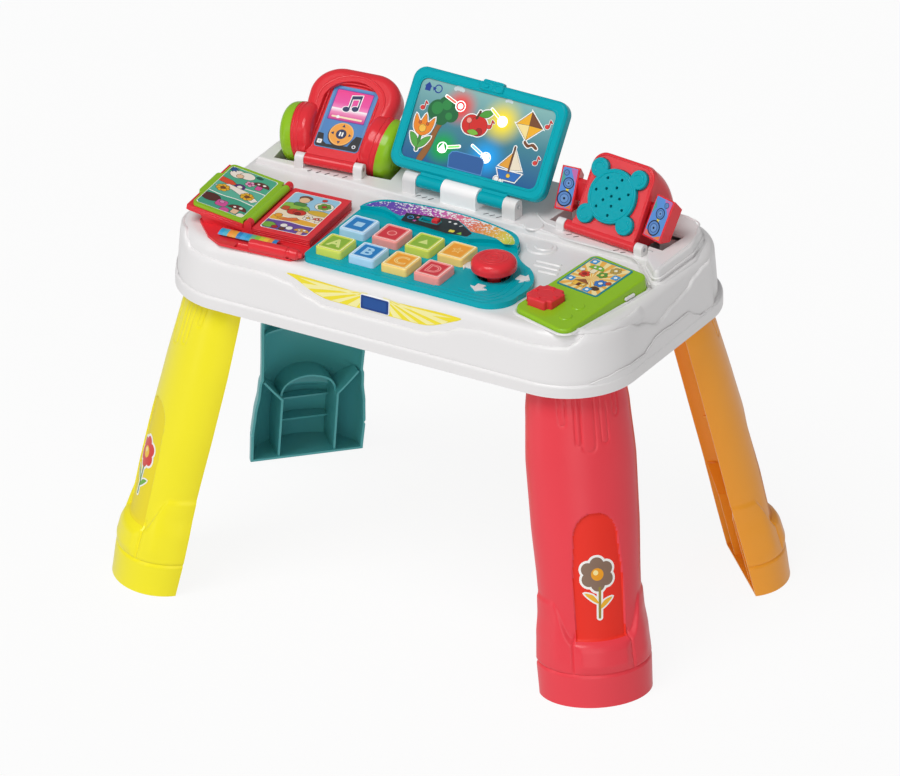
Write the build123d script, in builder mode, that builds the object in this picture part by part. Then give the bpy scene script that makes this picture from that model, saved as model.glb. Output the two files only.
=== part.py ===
"""Toddler activity table: a shallow white top on four splayed channel legs, with play devices on its deck.

Origin on the floor under the middle of the top, +X to the right, the child stands on the -Y side, +Z up, millimetres.
"""

from build123d import *
import os
from math import atan, cos, degrees, radians, sin, tan

os.makedirs("parts", exist_ok=True)

# Table top
RIM_WIDTH = 490.0
RIM_DEPTH = 289.0
RIM_CORNER = 71.0
RIM_HEIGHT = 297.0
LIP_HEIGHT = 13.0
LIP_STEP = 4.0
DECK_HEIGHT = 362.0
DECK_EDGE = 10.0
WALL = 3.0
WALL_TAPER = 4.0
PLATFORM_HEIGHT = 368.0
PLATFORM_FRONT = 27.0
PLATFORM_INSET = 18.0
PLINTH_HEIGHT = 375.0
PLINTH_ROOT = 350.0
PLATE_HEIGHT = 299.0

# Legs: the open edge of each channel runs down and outwards on the table's diagonal
LEG_TOP_X = 188.0
LEG_TOP_Y = 86.0
LEG_SPLAY = 49.5
LEG_WALL = 2.6
LEG_SHOULDER = PLATE_HEIGHT
PLUG_TOP = 324.0
PLUG_INSET = 3.0

# Devices on the deck: where each stands, its turn about Z, and how far its face leans back
KEYBOARD_TOP = 368.0
BAND_TOP = 372.0
KEY_TOP = 376.0
KEY_WIDTH = 28.0
KEY_DEPTH = 31.5
KEY_PITCH = 35.7
KEY_COLUMN = -65.0
LETTER_ROW = -99.0
SHAPE_ROW = -55.5
KEY_GAP = 0.4
KEY_FLANGE = 1.2
JOYSTICK_X = 90.0
JOYSTICK_Y = -69.0
PIVOT_HEIGHT = 362.0
SWITCH_X = -8.0
SWITCH_Y = -10.0
SWITCH_TRAVEL = 13.0

BOOK_X = -161.0
BOOK_Y = -61.0
BOOK_TURN = 4.0
PAGE_AXIS = 12.0
PAGE_THICK = 3.0
PAGE_LEAN = 8.5

CONSOLE_X = 181.0
CONSOLE_Y = -66.0
CONSOLE_TURN = -8.5

HINGE_HEIGHT = 376.0
POST_WIDTH = 9.0
POST_ROUND = 5.5
PIN_RADIUS = 2.0
RUNNING = 0.05

PLAYER_X = -152.0
PLAYER_Y = 38.0
PLAYER_TURN = 7.0
PLAYER_LEAN = 55.0

TABLET_X = -10.0
TABLET_Y = 42.0
TABLET_HINGE = 380.0
TABLET_LEAN = 35.4
TABLET_WIDTH = 168.0
TABLET_HEIGHT = 98.5
TABLET_FACE = 3.1
TABLET_EDGE = 8.2
TABLET_THICK = 13.5

SPEAKER_X = 143.0
SPEAKER_Y = 41.0
SPEAKER_HINGE = 373.5
SPEAKER_POST_ROUND = 5.2
SPEAKER_TURN = -6.0
SPEAKER_LEAN = 32.0
SPEAKER_ARC = 75.5


def device_frame(x, y, z, turn):
    """Upright frame of a device: X along its hinge, Y away from the child."""
    return Plane(origin=(x, y, z), x_dir=(cos(radians(turn)), sin(radians(turn)), 0), z_dir=(0, 0, 1))


def within(frame, origin, x_dir=(1, 0, 0), z_dir=(0, 0, 1)):
    """Plane given in a device's own frame."""

    def turned(v):
        return frame.x_dir * v[0] + frame.y_dir * v[1] + frame.z_dir * v[2]

    return Plane(origin=frame.origin + turned(origin), x_dir=turned(x_dir), z_dir=turned(z_dir))


def leaning(frame, lean):
    """Frame of a leaning face: Y runs up the face, Z out of it towards the child."""
    angle = radians(lean)
    return within(frame, (0, 0, 0), (1, 0, 0), (0, -cos(angle), sin(angle)))


def across(frame, x, y=0.0, z=0.0):
    """Plane square to a device's hinge line at x, its own X pointing away from the child."""
    return within(frame, (x, y, z), (0, 1, 0), (1, 0, 0))


BOOK = device_frame(BOOK_X, BOOK_Y, DECK_HEIGHT, BOOK_TURN)
CONSOLE = device_frame(CONSOLE_X, CONSOLE_Y, DECK_HEIGHT, CONSOLE_TURN)
PLAYER = device_frame(PLAYER_X, PLAYER_Y, HINGE_HEIGHT, PLAYER_TURN)
TABLET = device_frame(TABLET_X, TABLET_Y, TABLET_HINGE, 0)
SPEAKER = device_frame(SPEAKER_X, SPEAKER_Y, SPEAKER_HINGE, SPEAKER_TURN)
PLAYER_FACE = leaning(PLAYER, PLAYER_LEAN)
TABLET_SCREEN = leaning(TABLET, TABLET_LEAN)
SPEAKER_FACE = leaning(SPEAKER, SPEAKER_LEAN)

# Where the hinge posts stand along each device's own hinge line
PLAYER_POST = 30.0
TABLET_POST = 54.5
TABLET_POST_WIDTH = 14.0
SPEAKER_POST = 45.5

# Wells behind the hinges, in each device's own frame
PLAYER_WELL_X = 60.0
PLAYER_WELL_FRONT = 4.5
PLAYER_WELL_BACK = 68.5
PLAYER_WELL_DEEP = -37.5
CASE_WELL_X = 36.0
CASE_WELL_FRONT = 7.5
CASE_WELL_BACK = 50.0
CASE_WELL_DEEP = -26.0
CHEEK_WELL_X = 18.5
CHEEK_WELL_FRONT = 6.0
SPEAKER_WELL_X = 66.0
SPEAKER_WELL_FRONT = 7.0
SPEAKER_WELL_BACK = 42.0
SPEAKER_WELL_DEEP = -24.0
SPEAKER_SLOT_X = 36.6
SPEAKER_SLOT_BACK = 78.5
SPEAKER_SLOT_DEEP = -40.0
WELL_WALL = 2.0

SCREW_PLACES = [(-215, 0), (215, 0), (-75, 120), (75, 120), (-75, -126), (75, -126)]
BOSS_RADIUS = 4.5
SCREW_RADIUS = 1.5

# Game pad of the console, and the openings in the deck under the keyboard
PAD_X = -17.5
PAD_Y = -28.0
KEY_WINDOW = (-82.5, 60.5, -118.0, -36.5)
STICK_WINDOW = 24.5


def rectangle(x0, x1, y0, y1, mode=Mode.ADD):
    """Rectangle from its limits, in the current sketch."""
    with Locations(((x0 + x1) / 2, (y0 + y1) / 2)):
        Rectangle(x1 - x0, y1 - y0, mode=mode)


def key_window():
    rectangle(*KEY_WINDOW)
    with Locations((JOYSTICK_X, JOYSTICK_Y)):
        Circle(STICK_WINDOW)
    rectangle(SWITCH_X - SWITCH_TRAVEL - 7, SWITCH_X + 7, SWITCH_Y - 6, SWITCH_Y + 6)


def hinge_post(frame, x, width, base, radius=POST_ROUND):
    """Upright post with a round top around the hinge line."""
    with BuildSketch(across(frame, x - width / 2)) as profile:
        Circle(radius)
        rectangle(-radius, radius, base, 0)
    extrude(profile.sketch, amount=width)


def pin_hole(frame, x0, x1, radius=PIN_RADIUS + RUNNING):
    with BuildSketch(across(frame, x0)) as profile:
        Circle(radius)
    extrude(profile.sketch, amount=x1 - x0, mode=Mode.SUBTRACT)


def player_pockets(grow=0.0):
    """One long deep pocket for each ear cup, beside the hinge posts."""
    for side in (-1, 1):
        x0, x1 = sorted((side * (CHEEK_WELL_X - grow), side * (PLAYER_WELL_X + grow)))
        rectangle(x0, x1, CHEEK_WELL_FRONT - grow, PLAYER_WELL_BACK + grow)
        x0, x1 = sorted((side * (PLAYER_POST + POST_WIDTH / 2 + 0.8 - grow), side * (PLAYER_WELL_X + grow)))
        rectangle(x0, x1, PLAYER_WELL_FRONT - grow, PLAYER_WELL_FRONT + 4)


def player_well(grow=0.0):
    """Shallow middle of the well, under the casing."""
    rectangle(-CASE_WELL_X - grow, CASE_WELL_X + grow, CASE_WELL_FRONT - grow, CASE_WELL_BACK + grow)


def speaker_slot(grow=0.0):
    rectangle(-SPEAKER_SLOT_X - grow, SPEAKER_SLOT_X + grow, SPEAKER_WELL_FRONT - grow, SPEAKER_SLOT_BACK + grow)


def speaker_well(grow=0.0):
    rectangle(-SPEAKER_WELL_X - grow, SPEAKER_WELL_X + grow, SPEAKER_WELL_FRONT - grow, SPEAKER_WELL_BACK + grow)


def platform(inset):
    width = RIM_WIDTH - DECK_INSET - PLATFORM_INSET - 2 * inset
    depth = RIM_DEPTH - DECK_INSET - PLATFORM_INSET - 2 * inset
    RectangleRounded(width, depth, RIM_CORNER - PLATFORM_INSET - inset)
    rectangle(-RIM_WIDTH, RIM_WIDTH, -RIM_DEPTH, PLATFORM_FRONT + inset, mode=Mode.SUBTRACT)


def plinth(inset):
    """Raised surround of the loudspeaker, open to the front."""
    with BuildLine() as line:
        FilletPolyline(
            [(78, 54), (186, 50), (203, 18), (229, -8), (231, 64), (222, 98), (200, 118), (84, 124)],
            radius=[6, 14, 8, 6, 20, 14, 20, 10],
            close=True,
        )
    make_face(line.edges())
    if inset:
        offset(amount=-inset, mode=Mode.REPLACE)


# Upper housing: one moulding with the skirt, the deck, the rear platform, the wells and the hinge posts
DECK_INSET = 2 * (LIP_STEP + 4.5)
with BuildPart() as top_housing:
    with BuildSketch(Plane.XY.offset(RIM_HEIGHT)):
        RectangleRounded(RIM_WIDTH, RIM_DEPTH, RIM_CORNER)
    extrude(amount=LIP_HEIGHT)
    fillet(top_housing.faces().sort_by(Axis.Z)[-1].edges(), 3.5)
    with BuildSketch(Plane.XY.offset(RIM_HEIGHT + 1)):
        RectangleRounded(RIM_WIDTH - 2 * LIP_STEP, RIM_DEPTH - 2 * LIP_STEP, RIM_CORNER - LIP_STEP)
    extrude(amount=DECK_HEIGHT - RIM_HEIGHT - 1, taper=WALL_TAPER)
    fillet(top_housing.faces().sort_by(Axis.Z)[-1].edges(), DECK_EDGE)
    with BuildSketch(Plane.XY.offset(DECK_HEIGHT - 2)):
        platform(0)
    extrude(amount=PLATFORM_HEIGHT - DECK_HEIGHT + 2, taper=12)
    fillet(top_housing.faces().sort_by(Axis.Z)[-1].edges(), 2.5)
    with BuildSketch(Plane.XY.offset(PLINTH_ROOT)):
        plinth(0)
    extrude(amount=PLINTH_HEIGHT - PLINTH_ROOT, taper=6)
    fillet(top_housing.faces().sort_by(Axis.Z)[-1].edges(), 2.5)

    # hollow inside
    with BuildSketch(Plane.XY.offset(RIM_HEIGHT)):
        RectangleRounded(RIM_WIDTH - 6, RIM_DEPTH - 6, RIM_CORNER - 3)
    extrude(amount=LIP_HEIGHT - 3, mode=Mode.SUBTRACT)
    with BuildSketch(Plane.XY.offset(RIM_HEIGHT)):
        inner = 2 * (LIP_STEP + WALL)
        RectangleRounded(RIM_WIDTH - inner, RIM_DEPTH - inner, RIM_CORNER - LIP_STEP - WALL)
    extrude(amount=DECK_HEIGHT - WALL - RIM_HEIGHT, taper=WALL_TAPER, mode=Mode.SUBTRACT)
    with BuildSketch(Plane.XY.offset(PLINTH_ROOT)):
        platform(4)
    extrude(amount=PLATFORM_HEIGHT - WALL - PLINTH_ROOT, mode=Mode.SUBTRACT)
    with BuildSketch(Plane.XY.offset(PLINTH_ROOT)):
        plinth(5.5)
    extrude(amount=PLINTH_HEIGHT - WALL - PLINTH_ROOT, mode=Mode.SUBTRACT)

    # walls and floors of the wells, hung under the platform
    with BuildSketch(within(PLAYER, (0, 0, PLAYER_WELL_DEEP - WELL_WALL))):
        player_pockets(WELL_WALL)
    extrude(amount=PLATFORM_HEIGHT - 1 - HINGE_HEIGHT - PLAYER_WELL_DEEP + WELL_WALL)
    with BuildSketch(within(PLAYER, (0, 0, CASE_WELL_DEEP - WELL_WALL))):
        player_well(WELL_WALL)
    extrude(amount=PLATFORM_HEIGHT - 1 - HINGE_HEIGHT - CASE_WELL_DEEP + WELL_WALL)
    with BuildSketch(within(SPEAKER, (0, 0, SPEAKER_SLOT_DEEP - WELL_WALL))):
        speaker_slot(WELL_WALL)
    extrude(amount=PLATFORM_HEIGHT - 1 - SPEAKER_HINGE - SPEAKER_SLOT_DEEP + WELL_WALL)
    with BuildSketch(within(SPEAKER, (0, 0, SPEAKER_WELL_DEEP - WELL_WALL))):
        speaker_well(WELL_WALL)
    extrude(amount=PLATFORM_HEIGHT - 1 - SPEAKER_HINGE - SPEAKER_WELL_DEEP + WELL_WALL)

    # hinge posts
    for side in (-1, 1):
        hinge_post(PLAYER, side * PLAYER_POST, POST_WIDTH, PLATFORM_HEIGHT - 2 - HINGE_HEIGHT)
        hinge_post(TABLET, side * TABLET_POST, TABLET_POST_WIDTH, PLATFORM_HEIGHT - 2 - TABLET_HINGE, 7.0)
        hinge_post(
            SPEAKER, side * SPEAKER_POST, POST_WIDTH, PLATFORM_HEIGHT - 2 - SPEAKER_HINGE, SPEAKER_POST_ROUND
        )
    pin_hole(PLAYER, -50, 50)
    pin_hole(TABLET, -70, 70)
    pin_hole(SPEAKER, -60, 60)

    # the wells themselves
    with BuildSketch(within(PLAYER, (0, 0, PLAYER_WELL_DEEP))):
        player_pockets()
    extrude(amount=70, mode=Mode.SUBTRACT)
    with BuildSketch(within(PLAYER, (0, 0, CASE_WELL_DEEP))):
        player_well()
    extrude(amount=60, mode=Mode.SUBTRACT)
    with BuildSketch(within(SPEAKER, (0, 0, SPEAKER_SLOT_DEEP))):
        speaker_slot()
    extrude(amount=70, mode=Mode.SUBTRACT)
    with BuildSketch(within(SPEAKER, (0, 0, SPEAKER_WELL_DEEP))):
        speaker_well()
    extrude(amount=60, mode=Mode.SUBTRACT)

    # openings under the keyboard and the game pad
    with BuildSketch(Plane.XY.offset(DECK_HEIGHT - 6)):
        key_window()
    extrude(amount=8, mode=Mode.SUBTRACT)
    with BuildSketch(within(CONSOLE, (PAD_X, PAD_Y, -6))):
        Circle(9)
    extrude(amount=8, mode=Mode.SUBTRACT)

    # screw bosses down to the base plate
    with BuildSketch(Plane.XY.offset(PLATE_HEIGHT + WALL)):
        with Locations(*SCREW_PLACES):
            Circle(BOSS_RADIUS)
    extrude(amount=DECK_HEIGHT - WALL - PLATE_HEIGHT - WALL + 1)
    with BuildSketch(Plane.XY.offset(PLATE_HEIGHT)):
        with Locations(*SCREW_PLACES):
            Circle(SCREW_RADIUS)
    extrude(amount=22, mode=Mode.SUBTRACT)
top_housing.part.label = "top_housing"
export_step(top_housing.part, "parts/top_housing.step")


# Legs: deep channels, open towards the middle of the table, with a plug at the top and a wide boot at the foot
LEG_SECTIONS = [(299, 93, 38), (270, 101, 41), (220, 107, 43.5), (160, 105, 45.5), (110, 100, 46.5), (70, 97, 45)]
BOOT_SECTIONS = [(77, 99, 46), (58, 108, 48), (32, 111, 49), (0, 109, 46)]
PLUG_SECTIONS = [(296.4, 86, 34), (PLUG_TOP, 84.6, 33.4)]
BOOT_RIB = 27.0
LEG_QUADRANTS = {
    "leg_front_left": (-1, -1),
    "leg_front_right": (1, -1),
    "leg_back_left": (-1, 1),
    "leg_back_right": (1, 1),
}


def leg_plane(quadrant, z):
    """Level plane on a leg's open edge: X points outwards along the diagonal."""
    sx, sy = quadrant
    out = LEG_SPLAY * (RIM_HEIGHT - z) / RIM_HEIGHT
    return Plane(origin=(sx * (LEG_TOP_X + out), sy * (LEG_TOP_Y + out), z), x_dir=(sx, sy, 0), z_dir=(0, 0, 1))


def channel_section(quadrant, z, width, depth, inset=0.0, start=0.0):
    """One level outline of a leg: half an ellipse, flat on the open side."""
    with BuildSketch(leg_plane(quadrant, z)) as outline:
        Ellipse(depth - inset, width / 2 - inset)
        rectangle(-RIM_WIDTH, max(start, 0), -RIM_WIDTH, RIM_WIDTH, mode=Mode.SUBTRACT)
        if start < 0:
            rectangle(start, 0, -width / 2 + inset, width / 2 - inset)
    return outline.sketch


def channel(quadrant, sections, mode=Mode.ADD, **shape):
    loft([channel_section(quadrant, z, width, depth, **shape) for z, width, depth in sections], mode=mode)


def slanted_block(quadrant, z0, z1, x0, x1, y0, y1):
    """Block that follows a leg's lean between two heights."""
    ends = []
    for z in (z0, z1):
        with BuildSketch(leg_plane(quadrant, z)) as end:
            rectangle(x0, x1, y0, y1)
        ends.append(end.sketch)
    loft(ends)


def leg(quadrant):
    with BuildPart() as body:
        channel(quadrant, LEG_SECTIONS)
        channel(quadrant, BOOT_SECTIONS)
        channel(quadrant, PLUG_SECTIONS, start=PLUG_INSET)
        upper = [(LEG_SHOULDER - LEG_WALL, 93.7, 38.2)] + LEG_SECTIONS[1:-1] + [(78, 98, 45.3), (72, 99, 45.6)]
        channel(quadrant, upper, mode=Mode.SUBTRACT, inset=LEG_WALL, start=-20)
        foot = [(73, 99, 46), (58, 108, 48), (32, 111, 49), (LEG_WALL, 109, 46.2)]
        channel(quadrant, foot, mode=Mode.SUBTRACT, inset=LEG_WALL, start=-20)
        plug = [(296.3, 86, 34), (PLUG_TOP - LEG_WALL, 84.7, 33.5)]
        channel(quadrant, plug, mode=Mode.SUBTRACT, inset=LEG_WALL, start=PLUG_INSET + LEG_WALL)
        # shelf and upright ribs in the foot
        slanted_block(quadrant, 64, 66.4, 5, 42, -30, 30)
        for side in (-1, 1):
            y0, y1 = sorted((side * BOOT_RIB, side * (BOOT_RIB + 2.4)))
            slanted_block(quadrant, LEG_WALL - 0.5, 65, 2, 39, y0, y1)
    return body.part


for name, quadrant in LEG_QUADRANTS.items():
    solid = leg(quadrant)
    solid.label = name
    export_step(solid, f"parts/{name}.step")


# Base plate: closes the housing from below, with a collar for each leg and the battery box
BATTERY_X = 0.0
BATTERY_Y = -30.0
BOX_WIDTH = 66.0
BOX_DEPTH = 58.0
BOX_HEIGHT = 19.0
BOX_WALL = 2.0
DOOR_LIP = 3.0
DRIVER_X = 0.0
DRIVER_Y = 84.0
DRIVER_RADIUS = 25.0
COLLAR_TOP = 321.0
COLLAR_WALL = 2.4
COLLAR_GAP = 0.3
DOOR_SCREW_Y = BATTERY_Y - BOX_DEPTH / 2 - 3.5

with BuildPart() as base_plate:
    with BuildSketch(Plane.XY.offset(PLATE_HEIGHT)):
        RectangleRounded(RIM_WIDTH - 7, RIM_DEPTH - 7, RIM_CORNER - 3.5)
    extrude(amount=WALL)
    with BuildSketch(Plane.XY.offset(PLATE_HEIGHT)):
        with Locations((BATTERY_X, BATTERY_Y)):
            Rectangle(BOX_WIDTH + 2 * BOX_WALL, BOX_DEPTH + 2 * BOX_WALL + 14)
    extrude(amount=BOX_HEIGHT + BOX_WALL)
    for quadrant in LEG_QUADRANTS.values():
        collar = [(302, 85.8, 34), (COLLAR_TOP, 84.9, 33.6)]
        channel(quadrant, collar, inset=-COLLAR_WALL - COLLAR_GAP, start=PLUG_INSET - COLLAR_WALL - COLLAR_GAP)
        socket = [(298, 86, 34), (COLLAR_TOP + 1, 84.9, 33.6)]
        channel(quadrant, socket, mode=Mode.SUBTRACT, inset=-COLLAR_GAP, start=PLUG_INSET - COLLAR_GAP)
    # battery bay, the recess of its door and the hole of its screw
    with BuildSketch(Plane.XY.offset(PLATE_HEIGHT)):
        with Locations((BATTERY_X, BATTERY_Y)):
            Rectangle(BOX_WIDTH, BOX_DEPTH)
    extrude(amount=BOX_HEIGHT, mode=Mode.SUBTRACT)
    with BuildSketch(Plane.XY.offset(PLATE_HEIGHT)):
        with Locations((BATTERY_X, BATTERY_Y)):
            Rectangle(BOX_WIDTH + 2 * DOOR_LIP, BOX_DEPTH + 2 * DOOR_LIP + 10)
    extrude(amount=2.5, mode=Mode.SUBTRACT)
    with BuildSketch(Plane.XY.offset(PLATE_HEIGHT)):
        with Locations((BATTERY_X, DOOR_SCREW_Y)):
            Circle(1.6)
    extrude(amount=14, mode=Mode.SUBTRACT)
    # sound holes under the driver, and the housing screws' holes
    with BuildSketch(Plane.XY.offset(PLATE_HEIGHT)):
        with Locations((DRIVER_X, DRIVER_Y)):
            with PolarLocations(8, 6):
                Circle(2)
            with PolarLocations(16, 12):
                Circle(2)
            Circle(2)
        with Locations(*SCREW_PLACES):
            Circle(SCREW_RADIUS + 0.3)
    extrude(amount=WALL, mode=Mode.SUBTRACT)
base_plate.part.label = "base_plate"
export_step(base_plate.part, "parts/base_plate.step")


# Battery door with its captive screw
with BuildPart() as battery_door:
    with BuildSketch(Plane.XY.offset(PLATE_HEIGHT)):
        with Locations((BATTERY_X, BATTERY_Y)):
            RectangleRounded(BOX_WIDTH + 2 * DOOR_LIP - 0.8, BOX_DEPTH + 2 * DOOR_LIP + 9.2, 2)
    extrude(amount=2.3)
    with BuildSketch(Plane.XY.offset(PLATE_HEIGHT)):
        with Locations((BATTERY_X, DOOR_SCREW_Y)):
            Circle(1.7)
    extrude(amount=3, mode=Mode.SUBTRACT)
    with BuildSketch(Plane.XY.offset(PLATE_HEIGHT)):
        with Locations((BATTERY_X, DOOR_SCREW_Y)):
            Circle(3.2)
    extrude(amount=1.2, mode=Mode.SUBTRACT)
    with BuildSketch(Plane.XY.offset(PLATE_HEIGHT)):
        with Locations((BATTERY_X, BATTERY_Y + 24), (BATTERY_X, BATTERY_Y + 19), (BATTERY_X, BATTERY_Y + 14)):
            SlotOverall(26, 2)
    extrude(amount=0.8, mode=Mode.SUBTRACT)
battery_door.part.label = "battery_door"
export_step(battery_door.part, "parts/battery_door.step")


def screw(x, y, head_z, head_radius, shank_radius, length):
    """Cross-head screw pointing up, its head's face at head_z."""
    with BuildSketch(Plane.XY.offset(head_z)) as head:
        with Locations((x, y)):
            Circle(head_radius)
    extrude(head.sketch, amount=1.0)
    with BuildSketch(Plane.XY.offset(head_z + 1.0)) as shank:
        with Locations((x, y)):
            Circle(shank_radius)
    extrude(shank.sketch, amount=length)
    with BuildSketch(Plane.XY.offset(head_z)) as cross:
        with Locations((x, y)):
            Rectangle(head_radius * 1.2, 0.7)
            Rectangle(0.7, head_radius * 1.2)
    extrude(cross.sketch, amount=0.7, mode=Mode.SUBTRACT)


with BuildPart() as battery_door_screw:
    screw(BATTERY_X, DOOR_SCREW_Y, PLATE_HEIGHT + 0.2, 3.0, 1.3, 10)
battery_door_screw.part.label = "battery_door_screw"
export_step(battery_door_screw.part, "parts/battery_door_screw.step")

with BuildPart() as housing_screws:
    for x, y in SCREW_PLACES:
        screw(x, y, PLATE_HEIGHT - 1.0, 3.0, SCREW_RADIUS, 20)
housing_screws.part.label = "housing_screws"
export_step(housing_screws.part, "parts/housing_screws.step")


# Three round cells side by side, with their contact plates and coil springs
CELL_RADIUS = 7.1
CELL_LENGTH = 49.2
CELL_PITCH = 17.5
CELL_Z = PLATE_HEIGHT + 2.8 + CELL_RADIUS
with BuildPart() as batteries:
    for column in (-1, 0, 1):
        flip = -1 if column == 0 else 1
        x = BATTERY_X + column * CELL_PITCH
        end = Plane(origin=(x, BATTERY_Y - CELL_LENGTH / 2, CELL_Z), x_dir=(1, 0, 0), z_dir=(0, 1, 0))
        with BuildSketch(end):
            Circle(CELL_RADIUS)
        extrude(amount=CELL_LENGTH)
        nub = Plane(
            origin=(x, BATTERY_Y + flip * CELL_LENGTH / 2, CELL_Z), x_dir=(1, 0, 0), z_dir=(0, flip, 0)
        )
        with BuildSketch(nub):
            Circle(2.7)
        extrude(amount=1.0)
batteries.part.label = "batteries"
export_step(batteries.part, "parts/batteries.step")

SPRING_WIRE = 0.4
with BuildPart() as battery_contacts:
    for column in (-1, 0, 1):
        flip = -1 if column == 0 else 1
        x = BATTERY_X + column * CELL_PITCH
        for end in (-1, 1):
            wall = Plane(
                origin=(x, BATTERY_Y + end * (BOX_DEPTH / 2), CELL_Z), x_dir=(1, 0, 0), z_dir=(0, -end, 0)
            )
            with BuildSketch(wall):
                Rectangle(11, 11)
            extrude(amount=0.5)
        # a blunt cone stands for the coil spring at the flat end of each cell
        spring = Plane(
            origin=(x, BATTERY_Y - flip * (BOX_DEPTH / 2 - 0.5), CELL_Z), x_dir=(1, 0, 0), z_dir=(0, flip, 0)
        )
        for ring in range(5):
            with BuildSketch(spring.offset(ring * 0.78)):
                Circle(4.6 - ring * 0.4)
                Circle(3.6 - ring * 0.4, mode=Mode.SUBTRACT)
            extrude(amount=0.78)
battery_contacts.part.label = "battery_contacts"
export_step(battery_contacts.part, "parts/battery_contacts.step")


# Sound driver: magnet, basket and cone, facing down over its holes
with BuildPart() as sound_driver:
    with BuildSketch(Plane.XZ.offset(-DRIVER_Y)):
        with BuildLine():
            z = PLATE_HEIGHT + WALL
            Polyline(
                (DRIVER_X, z + 4),
                (DRIVER_X + 6, z + 5),
                (DRIVER_X + 21, z + 1),
                (DRIVER_X + 22, z),
                (DRIVER_X + DRIVER_RADIUS, z),
                (DRIVER_X + DRIVER_RADIUS, z + 2),
                (DRIVER_X + 13, z + 9),
                (DRIVER_X + 13, z + 15),
                (DRIVER_X, z + 15),
                close=True,
            )
        make_face()
    revolve(axis=Axis((DRIVER_X, DRIVER_Y, 0), (0, 0, 1)))
sound_driver.part.label = "sound_driver"
export_step(sound_driver.part, "parts/sound_driver.step")


# Keyboard panel: a teal moulding on the deck with windows for the keys, a raised band behind and a cup for the stick
CUP_RADIUS = 23.5
CUP_BORE = 17.5
CUP_BOTTOM = 353.0
STICK_HOLE = 16.0
RIB_Y = (LETTER_ROW + SHAPE_ROW) / 2
MEMBRANE_TOP = 359.5


def keyboard_outline(inset=0.0):
    with BuildLine() as line:
        Line((-79, -125), (104, -125))
        ThreePointArc((104, -125), (124, -116), (131, -94))
        ThreePointArc((131, -94), (129, -62), (112, -40))
        ThreePointArc((112, -40), (96, -30), (84, -15))
        ThreePointArc((84, -15), (76, 2), (56, 11.5))
        ThreePointArc((56, 11.5), (-2, 18.5), (-60, 11.5))
        ThreePointArc((-60, 11.5), (-80, 2), (-88, -18))
        Line((-88, -18), (-88, -116))
        ThreePointArc((-88, -116), (-85.4, -122.4), (-79, -125))
    make_face(line.edges())
    if inset:
        offset(amount=-inset, mode=Mode.REPLACE)


def band_outline(inset=0.0):
    with BuildLine() as line:
        ThreePointArc((84, -15), (76, 2), (56, 11.5))
        ThreePointArc((56, 11.5), (-2, 18.5), (-60, 11.5))
        ThreePointArc((-60, 11.5), (-80, 2), (-88, -18))
        ThreePointArc((-88, -18), (-64, -13), (-42, -22))
        Line((-42, -22), (36, -25))
        ThreePointArc((36, -25), (60, -14), (84, -15))
    make_face(line.edges())
    if inset:
        offset(amount=-inset, mode=Mode.REPLACE)


with BuildPart() as keyboard_panel:
    with BuildSketch(Plane.XY.offset(DECK_HEIGHT)):
        keyboard_outline()
    extrude(amount=KEYBOARD_TOP - DECK_HEIGHT)
    with BuildSketch(Plane.XY.offset(KEYBOARD_TOP - 1)):
        band_outline(0.8)
    extrude(amount=BAND_TOP - KEYBOARD_TOP + 1)
    with BuildSketch(Plane.XY.offset(DECK_HEIGHT)):
        keyboard_outline(2.2)
    extrude(amount=KEYBOARD_TOP - DECK_HEIGHT - 2, mode=Mode.SUBTRACT)
    with BuildSketch(Plane.XY.offset(DECK_HEIGHT)):
        band_outline(3.4)
    extrude(amount=BAND_TOP - DECK_HEIGHT - 2, mode=Mode.SUBTRACT)
    with BuildSketch(Plane.XY.offset(CUP_BOTTOM)):
        with Locations((JOYSTICK_X, JOYSTICK_Y)):
            Circle(CUP_RADIUS)
    extrude(amount=KEYBOARD_TOP - 1 - CUP_BOTTOM)
    with BuildSketch(Plane.XY.offset(CUP_BOTTOM)):
        with Locations((JOYSTICK_X, JOYSTICK_Y)):
            Circle(CUP_BORE)
    extrude(amount=KEYBOARD_TOP - 2 - CUP_BOTTOM, mode=Mode.SUBTRACT)
    with BuildSketch(Plane.XY.offset(CUP_BOTTOM)):
        with Locations((JOYSTICK_X, JOYSTICK_Y)):
            Circle(STICK_HOLE)
    extrude(amount=KEYBOARD_TOP - CUP_BOTTOM + 1, mode=Mode.SUBTRACT)
    with BuildSketch(Plane.XY.offset(MEMBRANE_TOP)):
        rectangle(KEY_WINDOW[0] + 2.5, KEY_WINDOW[1] - 2.5, RIB_Y - 2.5, RIB_Y + 2.5)
    extrude(amount=KEYBOARD_TOP - 1 - MEMBRANE_TOP)
    with BuildSketch(Plane.XY.offset(DECK_HEIGHT)):
        for column in range(4):
            for row in (LETTER_ROW, SHAPE_ROW):
                with Locations((KEY_COLUMN + column * KEY_PITCH, row)):
                    RectangleRounded(KEY_WIDTH + 2 * KEY_GAP, KEY_DEPTH + 2 * KEY_GAP, 3.4)
    extrude(amount=BAND_TOP - DECK_HEIGHT, mode=Mode.SUBTRACT)
    # bearing holes for the gimbal's trunnions
    with BuildSketch(Plane.YZ.offset(JOYSTICK_X - CUP_RADIUS - 1)):
        with Locations((JOYSTICK_Y, PIVOT_HEIGHT)):
            Circle(1.5 + RUNNING)
    extrude(amount=2 * CUP_RADIUS + 2, mode=Mode.SUBTRACT)
    # slot of the slide switch in the raised band
    with BuildSketch(Plane.XY.offset(BAND_TOP - 3)):
        rectangle(SWITCH_X - SWITCH_TRAVEL - 2.6, SWITCH_X + 2.6, SWITCH_Y - 2.2, SWITCH_Y + 2.2)
    extrude(amount=6, mode=Mode.SUBTRACT)
keyboard_panel.part.label = "keyboard_panel"
export_step(keyboard_panel.part, "parts/keyboard_panel.step")


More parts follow.
